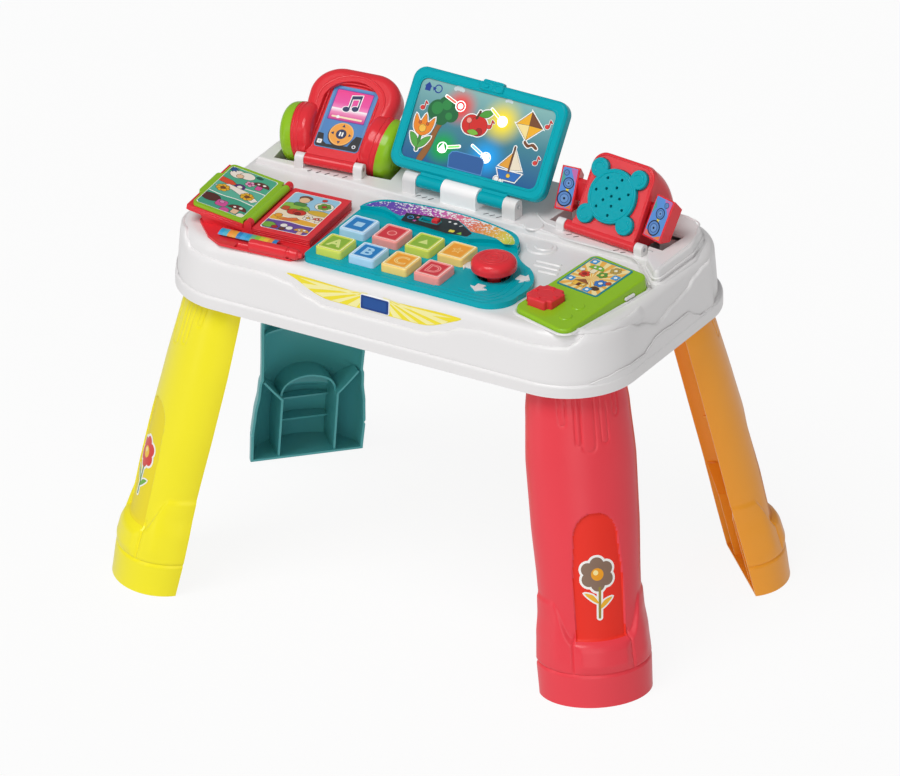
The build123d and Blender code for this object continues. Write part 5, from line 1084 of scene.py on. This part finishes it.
ridge("tray_bar", "table", lambda x, y, h=0.0: book_place(x, y, 2.2 + h), [(-26, TRAY_BAR), (40, TRAY_BAR)], 6.6, RED,
      False, 16)
stripes = []
for number, ink in enumerate(("2E9FD0", "46AFC8", "F0953C", "E8A23C", "2C83C4", "3FA6DC", "2E9FD0", "6DB88A", "8CC63F",
                              "C9D23A", "F3C33E", "F0953C", "2C83C4")):
    x = -23 + number * 4.6
    stripes.append((0, ink, fill([(x, -4.6), (x + 4.6, -4.6), (x + 5.6, 0), (x + 4.6, 4.6), (x, 4.6), (x + 1, 0)])))
printed("tray_stripes", "table", roller, stripes, "picture", 1.2)


def page_edge(d, z, h=0.0):
    """Round the stack of pages: d along its front and on along its right side."""
    left, right = 5.2, 65
    if d < right - left:
        return book_place(left + d, BOOK_FRONT - h, z)
    return book_place(right + h, BOOK_FRONT + d - (right - left), z)


def cover_edge(x, z, h=0.0):
    """Along the front edge of the left cover, z below its top."""
    return book_place(-x, BOOK_FRONT - h, 10.2 + x * tan(leaf_lean) - z)


# Fine ridges stand for the edges of the pages, of the cover, and of the leaf's fold.
for number, high in enumerate((3.4, 5.5, 7.5, 9.3)):
    ridge(f"page_edge_{number}", "table", page_edge, [(1 + 2.1 * i, high) for i in range(70)], 0.75, RED)
for number, low in enumerate((1.3, 3.3)):
    ridge(f"cover_edge_{number}", "table", cover_edge, [(6, low), (30, low), (61, low)], 0.75, RED)
for number, away in enumerate((1.2, 3.4)):
    ridge(f"leaf_fold_{number}", "leaf", leaf_place, [(56.2 - away, -42), (56.2 - away, 42)], 0.5, GREEN)


# Game console: a green ABS moulding clipped into a white seat, with a framed picture of plain things before a sun,
# two round buttons moulded in one with it and a red direction pad that can be pressed.
dress(green_abs, "console_shell")
dress(red_abs, "console_pad")
dress(film("1C8F9C"), "console_screen")
CONSOLE_X, CONSOLE_Y, CONSOLE_TURN, CONSOLE_SLOPE = 181, -66, -8.5, 4.4


def console_place(z):
    """Level face of the console's own frame, z above the deck."""
    return flat_place(CONSOLE_X, CONSOLE_Y, DECK + z, CONSOLE_TURN)


def console_face(x, y, h=0.0):
    """On the console's sloping face, x and y from its middle."""
    slope = radians(CONSOLE_SLOPE)
    front = -60
    run = y - front
    return console_place(4.5)(x, front + run * cos(slope) - h * sin(slope), run * sin(slope) + h * cos(slope))


# The picture: rays about a sun, small blue tiles near its corners, and plain things between them.
edges = (-27.6, 4.4, 16.8, 57.6)
pieces = [(0, "FBE7A6", fill(rounded(*edges, 1.2)))]
sun_x, sun_y, reach = -6, 26, 60
for number in range(18):
    ends = [(sun_x + reach * cos(radians(a)), sun_y + reach * sin(radians(a))) for a in (number * 20, number * 20 + 10)]
    ray = clipped([(sun_x, sun_y)] + ends, *edges)
    if len(ray) > 2:
        pieces.append((1, "F6B84E", fill(ray)))
badges = []
half = 3.6
for x, y in ((-22.6, 52.6), (12.4, 40), (-23.4, 17), (2.6, 8.8)):
    badges += [("3E9FDC", rounded(x - half, y - half, x + half, y + half, 0.8)), ("F4F9FC", disc(x, y, 1.9, 16))]
motifs = [
    *toadstool(-13, 42, 8.4, "7DBE3C", "F7E9C8"), *blossom(-17, 30, 5.4, "E0402F", "9E2A20"),
    *blossom(5, 50, 5.4, "C9A64A", "FBF3D2", 6), *cottage(-10, 15, 6.6, "F7C24A", "9A5A34"),
    *blossom(7, 24, 6.2, "3C7FD0", "F4F1E6", 6), *blossom(-1, 37, 5.2, "5FA03C", "F7E07A"),
    ("5A3A26", disc(8, 14, 4.6, 20, 0.7)), ("F7F1E2", disc(-24, 35.5, 2.6, 16)), ("C9502E", disc(13.4, 28, 2.8, 16))]
for outline, shapes in (("4A3226", motifs), ("2C7DB8", badges)):
    for colour, loop in shapes:
        pieces += [(2, outline, fill(clipped(shrink(loop, -0.3), *edges))), (3, colour, fill(clipped(loop, *edges)))]
printed("console_picture", "table", lambda x, y, h=0.0: console_face(x, y, h + 0.32), stacked(pieces), layer=0.02)
for number, (x, y) in enumerate(((16.9, -40.6), (15.4, -19.7))):
    relief(f"console_button_{number}", "table", console_face, disc(x, y, 6.4, 40), 0.9, GREEN, 0.7)
seat = soft_corners([(-38.6, -55.8, 13), (36.6, -66, 11), (37.7, 64.9, 11), (-35.6, 67.8, 10)])
ridge("console_seat", "table", console_place(0), seat, 1.7, WHITE, True)
relief("console_catch", "table", lambda x, y, h=0.0: console_place(0)(36.2 + h, x, 2.2 + y),
       rounded(24, 0, 38, 3.2, 1.2), 1.5, WHITE, 0.5)
for number, (start, end) in enumerate(((205, 335), (25, 155))):
    line = [(-17.5 + 8.2 * cos(radians(a)), -28 + 8.2 * sin(radians(a))) for a in range(start, end, 10)]
    ridge(f"pad_arc_{number}", "direction_pad", console_place(14.55), line, 0.6, RED)


# Music player: a red ABS casing hinged on a steel pin, with an arched headband, ribbed cheeks, green ear cups pressed
# on them and a printed face: a note over a pink sky, a progress bar and round controls.
def leaning_place(x0, y0, z0, turn, lean, depth):
    """On a device's leaning face: x along its hinge, y up the face, h out of it."""
    along = Vector((cos(radians(turn)), sin(radians(turn)), 0))
    back = Vector((-sin(radians(turn)), cos(radians(turn)), 0))
    up = back * sin(radians(lean)) + Vector((0, 0, cos(radians(lean))))
    out = along.cross(up)
    return lambda x, y, h=0.0: (Vector((x0, y0, z0)) + along * x + up * y + out * (depth + h)) * MM


dress(red_abs, "player_front", "player_back")
dress(green_abs, "ear_cup_left", "ear_cup_right")
dress(film("5A93C8"), "player_picture")
PLAYER_HINGE, PLAYER_TURN, PLAYER_LEAN = (-152, 38, 376), 7, 55


def player_at(depth):
    """A level of the player's face, depth in front of its hinge."""
    return leaning_place(*PLAYER_HINGE, PLAYER_TURN, PLAYER_LEAN, depth)


# Sky film: two bands of pink that each pale upwards, with a white line of light where they meet.
pink_sky, tree, shader = new_material("printed vinyl film, pink sky")
up = add(tree, "SeparateXYZ", {0: add(tree, "TexCoord").outputs["Object"]}).outputs["Z"]
rise = add(tree, "MapRange", {"Value": up, "From Min": 0.4021, "From Max": 0.4204})
sky_ramp = add(tree, "ValToRGB", {0: rise.outputs[0]})
sky_ramp.color_ramp.elements[0].color = linear("B81C74")
sky_ramp.color_ramp.elements[1].color = linear("EE2C8E")
for position, colour in ((0.12, "DC3A94"), (0.3, "F08CBC"), (0.4, "FCEAF3"), (0.425, "FFFFFF"), (0.45, "F283BE"),
                         (0.62, "EC46A2")):
    sky_ramp.color_ramp.elements.new(position).color = linear(colour)
tree.links.new(sky_ramp.outputs[0], shader.inputs["Base Color"])
shader.inputs["Roughness"].default_value = 0.3
# The face: a blue field, the framed sky, the dark foot with two small signs, and the round control with a pause sign.
foot_field = [
    (-22, 17.4), (-20, 15.5), (20, 15.5), (22, 17.4), (22, 31.6), (16, 31.9), (12.6, 25.4), (10.6, 19.8), (-10.6, 18.8),
    (-14.2, 21), (-16.4, 29.3), (-22, 29.6)]
face = [
    (0, "5E97CC", fill(rounded(-22.4, 15.2, 22.4, 81, 3.4))), (1, "4B86C4", fill(rounded(-20.8, 17, 20.8, 79.4, 2.4))),
    (2, "6A2F9C", fill(rounded(-18.9, 44.8, 18.9, 78, 1.0))),
    (3, pink_sky, fill(rounded(-18.1, 45.6, 18.1, 77.2, 0.8))), (2, "202127", fill(foot_field)),
    (3, "F4F4F2", fill(rounded(-20.4, 18.4, -15.6, 22.8, 0.8))), (4, "C9CCD0", fill(disc(-18.0, 20.6, 1.2, 16))),
    (3, "E9EEF4", fill(disc(17, 20.6, 1.9), disc(17, 20.6, 1.0))), (2, "2B2330", fill(disc(0.2, 30.6, 12.6))),
    (3, "F2A440", fill(disc(0.6, 31.4, 12.2))), (4, "F8C070", fill(disc(0.6, 31.4, 12.0), disc(0.6, 31.4, 11.2))),
    (4, "25305A", fill(disc(0.6, 31.4, 5.2))), (5, "F4F4F2", fill(rounded(-1.5, 29.2, 0.1, 33.6, 0.3))),
    (5, "F4F4F2", fill(rounded(1.1, 29.2, 2.7, 33.6, 0.3))), (4, "FBE8C4", fill(bar(-14.6, 48.8, 14.8, 48.8, 1.9))),
    (5, "FFFFFF", fill(disc(-8.9, 48.8, 1.7)))]
for a in (0, 90, 180, 270):
    x, y = 0.6 + 8.8 * cos(radians(a)), 31.4 + 8.8 * sin(radians(a))
    face.append((5, "25305A", fill(turned([(-1.7, -1.2), (1.7, -1.2), (0, 1.7)], x, y, a - 90))))
# The note, dark on its white margin: two heads, their stems and the beam.
for level, ink, grow in ((5, "FBF7FA", 0.9), (6, "27305C", 0.0)):
    for x, y in ((-3.8, 57.9), (4.9, 59.6)):
        face.append((level, ink, fill(disc(x, y, 3.4 + grow, 24, 0.8))))
        face.append((level, ink, fill(bar(x + 2.6, y, x + 2.6, y + 13.2, 1.4 + 2 * grow))))
    face.append((level, ink, fill([(-1.9 - grow, 69.0 - grow), (8.2 + grow, 71.0 - grow), (8.2 + grow, 74.6 + grow),
                                   (-1.9 - grow, 72.6 + grow)])))
printed("player_face", "player", player_at(0.8), face)


def arch_line(half, bottom, top, crown, count=26):
    """Open line up one side of an arch, over its crown and down the other."""
    over = [(half * cos(pi * i / count), top - crown + crown * sin(pi * i / count)) for i in range(count + 1)]
    return [(half, bottom)] + over + [(-half, bottom)]


for number, (depth, half, bottom, top, crown, radius) in enumerate(((2.9, 25.6, 14, 84.4, 9, 0.9),
                                                                    (5.7, 33.4, 52, 91.6, 27, 1.3))):
    ridge(f"headband_line_{number}", "player", player_at(depth), arch_line(half, bottom, top, crown), radius, RED)
flare, turn = radians(10), radians(PLAYER_TURN)
CHEEK = 29.4  # radius of a cheek's rim
for side, name in ((-1, "left"), (1, "right")):
    out = Vector((side * cos(flare) * cos(turn), side * cos(flare) * sin(turn), -sin(flare)))
    first = Vector((-sin(turn), cos(turn), 0))
    second = out.cross(first)
    middle = Vector(PLAYER_HINGE) + Vector((cos(turn), sin(turn), 0)) * side * 42.7
    middle += first * 35.5 + Vector((0, 0, 6.5))

    def cup_place(x, y, h=0.0, middle=middle, first=first, second=second, out=out):
        """On a cheek: x back, y up, h outwards."""
        return (middle + first * x + second * y + out * h) * MM

    def rim_place(a, b, h=0.0, place=cup_place):
        """Round the cheek's rim: a along it, b across it."""
        return place((CHEEK + h) * cos(a / CHEEK), (CHEEK + h) * sin(a / CHEEK), b)

    for number, across in enumerate((-2.2, -6.4)):
        line = [(2 * pi * CHEEK * i / 72, across) for i in range(72)]
        ridge(f"cheek_rib_{name}_{number}", "player", rim_place, line, 0.8, RED, True)
    ridge(f"cup_ring_{name}", "player", lambda x, y, h=0.0, place=cup_place: place(x, y, h + 13.9),
          disc(0, 0, 17, 48), 0.7, GREEN, True)


# Tablet: teal ABS frame and rear shell screwed together round a tinted window, on a hinge with a white cover. Behind
# the window four lamps glow, and die-cut prints show a tree, clouds, plain toys and a blue badge field.
dress(teal_abs, "tablet_frame", "tablet_back")
# White gloss ABS: brighter than the satin housing, also by a faint painted glow. Laminate: dull green with a slight
# weave.
dress(moulded("white ABS, gloss moulded, painted glow", "F6F6F6", 0.22, 0.006, 0.01, glow=0.1), "tablet_hinge_cover")
dress(moulded("green circuit board laminate", "1E5B38", 0.45, 0.05), "tablet_lamps", "circuit_board")
TABLET_HINGE, TABLET_LEAN = (-10, 42, 380), 35.4


def tablet_at(depth):
    """A level of the tablet's face, depth in front of its hinge."""
    return leaning_place(*TABLET_HINGE, 0, TABLET_LEAN, depth)


# Each lamp: its place, the colour and reach of its glow, where its pointer starts from it and the pointer's colour.
LAMPS = ((-27, 78, "F02418", 22, -17, 6, "FF6A5A"), (20, 74, "FFE400", 27, -14, 9, "FFE23A"),
         (-33, 36, "06A82A", 22, 17, 5, "7FE070"), (14, 37, "18A4F4", 25, -17, 8, "7CC8FF"))
tablet_face = tablet_at(1.5)
# Clear polystyrene, tinted: a smooth, glossy pane, blue-grey and paler upwards, in which each lamp is a soft glow.
window, tree, shader = new_material("tinted clear polystyrene window")
place = add(tree, "TexCoord").outputs["Object"]
split = add(tree, "SeparateXYZ", {0: place})
up_window = add(tree, "MapRange", {"Value": split.outputs["Z"], "From Min": 0.395, "From Max": 0.459})
tint = add(tree, "ValToRGB", {0: up_window.outputs[0]})
tint.color_ramp.elements[0].color = linear("24598F")
tint.color_ramp.elements[1].color = linear("84B2B0")
tint.color_ramp.elements.new(0.5).color = linear("45808F")
colour = tint.outputs[0]
for x, y, ink, reach, _, _, _ in LAMPS:
    away = add(tree, "VectorMath", {0: place, 1: tablet_face(x, y)}, operation="DISTANCE").outputs["Value"]
    fall = add(tree, "MapRange", {"Value": away, "From Min": 0.0, "From Max": reach * MM, "To Min": 1.0, "To Max": 0.0},
               interpolation_type="SMOOTHSTEP").outputs[0]
    colour = add(tree, "Mix", {0: fall, 6: colour, 7: linear(ink)}, data_type="RGBA").outputs[2]
tree.links.new(colour, shader.inputs["Base Color"])
tree.links.new(colour, shader.inputs["Emission Color"])
shader.inputs["Emission Strength"].default_value = 0.16
shader.inputs["Roughness"].default_value = 0.12
shader.inputs["Coat Weight"].default_value = 0.4
dress(window, "tablet_window")


def cloud(x, y, size):
    """Four pale discs in a row."""
    return [(0, "C9D6D8", fill(disc(x + dx * size, y + dy * size, r * size, 20))) for dx, dy, r in
            ((-1.3, 0, 0.7), (-0.4, 0.5, 0.9), (0.5, 0.3, 0.8), (1.3, 0, 0.6))]


def cut_out(shapes, margin=1.3):
    """Die-cut print: every shape again in white behind itself, a margin larger, and each with a dark ink line."""
    white = [(1, "FBFBF8", fill(shrink(loop, -margin))) for _, _, loop in shapes]
    inked = []
    for level, ink, loop in shapes:
        inked += [(level + 2, "3A2A26", fill(shrink(loop, -0.3))), (level + 2, ink, fill(loop))]
    return white + inked


def lamp_mark(x, y, dx, dy, ink):
    """Lit place in the window: a ring of light, with a pale pointer beside it."""
    return [(3, film("FFF8F0", 0.5), fill(bar(x + dx, y + dy, x + dx * 0.35, y + dy * 0.35, 3.4))),
            (4, film(ink, 0.4), fill(bar(x + dx * 0.97, y + dy * 0.97, x + dx * 0.38, y + dy * 0.38, 1.9))),
            (3, film("FFFFFF", 0.8), fill(disc(x, y, 5.4), disc(x, y, 4.5)))]


def moved(shapes, dx, dy, size, about):
    """Shapes drawn smaller about a point and shifted."""
    x0, y0 = about
    return [(level, ink, [(x0 + (x - x0) * size + dx, y0 + (y - y0) * size + dy) for x, y in loop])
            for level, ink, loop in shapes]


tulip = [
    (0, "3F8E3A", bar(-59, 28, -59, 46, 2.6)),
    (0, "57A846", curve_points([(-59, 30), (-66, 34), (-70, 43), (-62, 40)], 4, True)),
    (0, "57A846", curve_points([(-59, 30), (-52, 34), (-48, 43), (-56, 39)], 4, True)),
    (0, "F08A24", curve_points([(-59, 42), (-68, 48), (-69, 61), (-63, 55), (-59, 63), (-55, 55), (-49, 61), (-50, 48)],
                               4, True)),
    (1, "F8C24A", disc(-59, 49, 3.6)), (1, "C9602A", disc(-63, 54, 1.4, 12)), (1, "C9602A", disc(-55, 54, 1.4, 12))]
apple = [
    (0, "D42A26", disc(-11, 64, 9.4)), (0, "D42A26", disc(-3, 64, 9.4)), (0, "5F3A20", bar(-7, 71, -5, 78, 1.8)),
    (0, "4FA03A", curve_points([(-5, 74), (0, 80), (9, 81), (4, 74)], 4, True)), (1, "F4968A", disc(-14, 67.5, 2.6)),
    (1, "A81E20", disc(-1, 59, 3.4)), (1, "7DBB3E", curve_points([(-13, 57), (-7, 60), (-1, 57), (-7, 54.6)], 4, True))]
kite = [
    (0, "F4B42A", [(48, 90), (63, 77), (49, 63), (35, 76)]), (1, "7A4A2C", [(48, 90), (48.6, 77), (63, 77)]),
    (1, "F8E29A", [(49, 63), (48.6, 77), (35, 76)]),
    (0, "7A4A2C", curve_points([(49, 62), (53, 59), (58, 61), (63, 58), (62, 56.4), (57, 58.6), (53, 56.6), (48, 60)],
                               3, True))]
boat = [
    (0, "2A6FC0", [(34, 30), (62, 30), (57, 21), (39, 21)]), (0, "F1E4CC", [(48, 32), (48, 54), (61, 34)]),
    (0, "E9A43A", [(46, 33), (46, 49), (35, 34)]), (0, "6E4630", bar(47, 30, 47, 56, 1.5)),
    (1, "F2C53A", disc(48, 25.6, 2.1)), (0, "F7F7F5", disc(36, 19.5, 2.6, 14)), (0, "F7F7F5", disc(41, 18.6, 2.2, 14))]
window_prints = cloud(-33, 93, 3.0) + cloud(21, 94, 2.2)
trunk = curve_points([(-50, 19.5), (-45, 34), (-42, 52), (-36, 66), (-40, 66), (-46.5, 52), (-50.5, 36), (-56, 19.5)],
                     4, True)
window_prints += [
    (0, "5B3A24", fill(shrink(trunk, -0.4))), (1, "96602F", fill(trunk)),
    (1, "96602F", fill(bar(-43, 54, -50, 64, 1.8)))]
for level, ink, count, crown in ((1, "1E6A3C", 28, ((-49, 69, 10.4), (-41, 75, 9.6), (-43, 63, 7.4), (-34, 68, 7.6))),
                                 (2, "2C8A46", 36, ((-50, 71, 6), (-41, 76, 5), (-36, 66, 3.6)))):
    window_prints += [(level, ink, fill(disc(x, y, r, count))) for x, y, r in crown]
for shapes in (tulip, apple, kite, moved(boat, -6, 0, 0.92, (48, 30))):
    window_prints += cut_out(shapes)
for x, y, _, _, dx, dy, ink in LAMPS:
    window_prints += lamp_mark(x, y, dx, dy, ink)
# A white sign in each ring of light: disc, sun, triangle, square.
for sign in (disc(-27, 78, 2.8), star(20, 74, 5.6, 3.4, 8), [(-37.6, 32), (-28.4, 32), (-33, 40.6)],
             rounded(10.4, 33.4, 17.6, 40.6, 1)):
    window_prints.append((5, film("FFFFFF", 0.9), fill(sign)))
# Small blue signs in the upper left corner: a house, a ring and a pointer between them.
for level, shape in ((0, fill([(-69.5, 88.6), (-61.4, 88.6), (-65.5, 93)])),
                     (0, fill(rounded(-68.4, 84.6, -62.6, 88.8, 0.3))),
                     (0, fill(disc(-54.6, 88.6, 4.2), disc(-54.6, 88.6, 3.1))),
                     (1, fill([(-60.6, 89.5), (-56.6, 88.6), (-59.4, 85.6)]))):
    window_prints.append((level, "1E3F96", shape))
# Red notes between the toys, and the blue badge field at the lower edge.
for x, y in ((-65, 68), (8, 66), (67, 80), (65.5, 44)):
    note = (disc(x, y, 2.3, 18, 0.85), bar(x + 1.9, y, x + 1.9, y + 6.4, 1.0),
            bar(x + 1.9, y + 6.4, x + 4, y + 4.6, 1.0))
    window_prints += cut_out([(0, "E0403C", shape) for shape in note], 0.8)
badge = [(-22, 19.2), (-24.5, 31), (-22, 35), (-17, 36.4), (8, 36.4), (12.4, 35), (14.4, 31), (15, 19.2)]
window_prints += [(5, "4E94CE", fill(badge)), (6, "2C5FA0", fill(shrink(badge, 0.9)))]
printed("window_prints", "tablet", tablet_face, window_prints)
relief("tablet_catch", "tablet", tablet_at(2.9), rounded(-14, 98.2, 13, 106.8, 3.4), 1.6, TEAL, 0.8)
for number, (x0, x1) in enumerate(((-11.6, 0.6), (3.4, 11.4))):
    ridge(f"tablet_catch_loop_{number}", "tablet", tablet_at(4.4), rounded(x0, 99.4, x1, 105.8, 2.6), 0.9, TEAL, True)
relief("tablet_catch_tongue", "tablet", tablet_at(4.2), rounded(-8.4, 101, -2.6, 104.4, 1.4), 1.2, TEAL, 0.5)
for number, (grow, deep, radius) in enumerate(((0.0, 3.0, 0.9), (-6.2, 3.05, 0.5))):
    inner_line = rounded(-75.4 + grow, 16.8 + grow, 75.4 - grow, 98.1 - grow, 8 - grow / 2)
    ridge(f"tablet_frame_line_{number}", "tablet", tablet_at(deep), inner_line, radius, TEAL, True)


# Loudspeaker: red ABS shells hinged on a steel pin, with a ringed and dimpled teal grille that can be pressed, and a
# printed film with plain loudspeaker circles on each side box.
dress(red_abs, "speaker_front", "speaker_shell", "side_box_left", "side_box_right")
# Dimpled ABS: the same teal, broken up by small round pits 3.2 mm apart.
grille_abs = moulded("teal ABS, dimpled", "00A6B4", 0.3, 0.02, 0.03, shine=0.2)
tree = grille_abs.node_tree
pits = add(tree, "TexVoronoi", {"Vector": add(tree, "TexCoord").outputs["Object"], "Scale": 1 / (3.2 * MM)},
           feature="SMOOTH_F1")
dimples = add(tree, "Bump", {"Height": pits.outputs["Distance"], "Strength": 0.5, "Distance": 0.8 * MM})
tree.links.new(dimples.outputs[0], tree.nodes["Principled BSDF"].inputs["Normal"])
dress(grille_abs, "speaker_grille")
SPEAKER_HINGE, SPEAKER_TURN, SPEAKER_LEAN = (143, 41, 373.5), -6, 32


def speaker_at(depth):
    """A level of the loudspeaker's face, depth in front of its hinge."""
    return leaning_place(*SPEAKER_HINGE, SPEAKER_TURN, SPEAKER_LEAN, depth)


grille_face = speaker_at(7.2)
middle_x, middle_y = 1, 38.5
ridge("grille_ring", "grille", grille_face, disc(middle_x, middle_y, 23.4, 60), 0.9, TEAL, True)
for number in range(4):
    a = radians(45 + 90 * number)
    x, y = middle_x + 32 * cos(a), middle_y + 32 * sin(a)
    line = [(x + 5.4 * cos(a + radians(b)), y + 5.4 * sin(a + radians(b))) for b in range(-120, 121, 15)]
    ridge(f"lobe_arc_{number}", "grille", grille_face, line, 0.9, TEAL)
left, right = -31.4, 36.4
top_rim = [corner for corner in rounded(left, 3, right, 74.4, 12.4) if corner[1] > 14]
ridge("speaker_rim", "speaker", speaker_at(3.0), [(right, 10)] + top_rim + [(left, 10)], 0.8, RED)
turn = radians(SPEAKER_TURN)
for side, name, middle, forward, start, end in ((-1, "left", -49.5, 0, -12.6, 4.6), (1, "right", 53.2, 5, -12.0, 11.0)):
    x0 = SPEAKER_HINGE[0] + cos(turn) * middle - sin(turn) * 11
    y0 = SPEAKER_HINGE[1] + sin(turn) * middle + cos(turn) * 11
    box_face = leaning_place(x0, y0, 380, SPEAKER_TURN - 11 * side, 29, forward)
    mid = (start + end) / 2
    wide = (end - start) / 2 - 1.1
    # Three loudspeaker circles from small at the top to large at the foot, over scraps of bright colour.
    horns = []
    for x, y, r in ((mid + side * wide * 0.45, 36.0, 2.9), (mid + 0.6, 26.4, 5.6), (mid - wide * 0.1, 11.6, 7.6)):
        for number, (ink, share) in enumerate((("15203C", 1), ("5F8CCB", 0.84), ("3B5F9C", 0.6), ("6F9AD2", 0.5),
                                               ("15203C", 0.16))):
            horns.append((2 + number, ink, fill(disc(x, y, r * share))))
    low, high, left, right = 2.4, 41.0, mid - wide, mid + wide
    printed(f"side_film_{name}", "speaker", box_face, [
        (0, "5C94DC", fill(rounded(left, low, right, high, 1.0))),
        (1, "F4DA2E", fill([(mid + dx, y) for dx, y in ((-3.4, 15), (5.6, 15), (1.4, 19.6), (4.6, 24), (-2.6, 24),
                                                        (-0.6, 19.6))])),
        (1, "E9746A", fill([(left + 0.4, low + 0.4), (mid + 2, low + 0.4), (left + 0.4, low + 6)])),
        (1, "C76FB0", fill([(right - 0.3, 27), (right - 0.3, high - 0.6), (mid + 0.5, high - 0.6)])),
        (1, "4FA7A0", fill([(left + 0.3, 24), (left + 4, 31), (left + 0.3, 38)])),
        (1, "F0843C", fill([(mid + 1, low + 0.3), (right - 0.4, low + 0.3), (right - 0.4, low + 4.6)]))] + horns)


# Slots under the hinges: painted shadow, short dark marks printed on the platform's white ABS where the devices' clips
# reach through. The painted shadow is matt and warm.
dark = moulded("shadow in a narrow slot", "3A3537", 0.9, 0.0)
for name, x0, y0, turn, spots in (("player", *PLAYER_HINGE[:2], PLAYER_TURN, (-18, -9, 0, 9, 18)),
                                  ("speaker", *SPEAKER_HINGE[:2], SPEAKER_TURN, (-33, -25, 22, 30)),
                                  ("tablet", *TABLET_HINGE[:2], 0, (-44, -37, -30, 30, 37, 44))):
    place = flat_place(x0, y0, PLATFORM, turn)
    printed(f"{name}_slots", "table", place, [(0, dark, fill(bar(x - 1.5, -8.6, x + 1.3, -5.0, 1.2))) for x in spots],
            "dark")


# Inside and underneath: three cells in painted steel sleeves in the battery bay, the sound driver behind its holes,
# and three grip ridges moulded on the battery door. The paint is smooth with a quiet gloss; the driver's coated paper
# is a dull, grainy black.
dress(moulded("painted steel cell sleeve", "4A4F58", 0.3, 0.02), "batteries")
dress(moulded("black coated paper and steel", "202124", 0.7, 0.15), "sound_driver")
DOOR_FACE = 299.15


def door_face(x, y, h=0.0):
    """On the battery door's outer face, looking up at it from below."""
    return Vector((x, y, DOOR_FACE - h)) * MM


for number in range(3):
    y = 5 * number - 13.6
    ridge(f"door_grip_{number}", "door", door_face, [(-12, y), (12, y)], 0.5, WHITE)
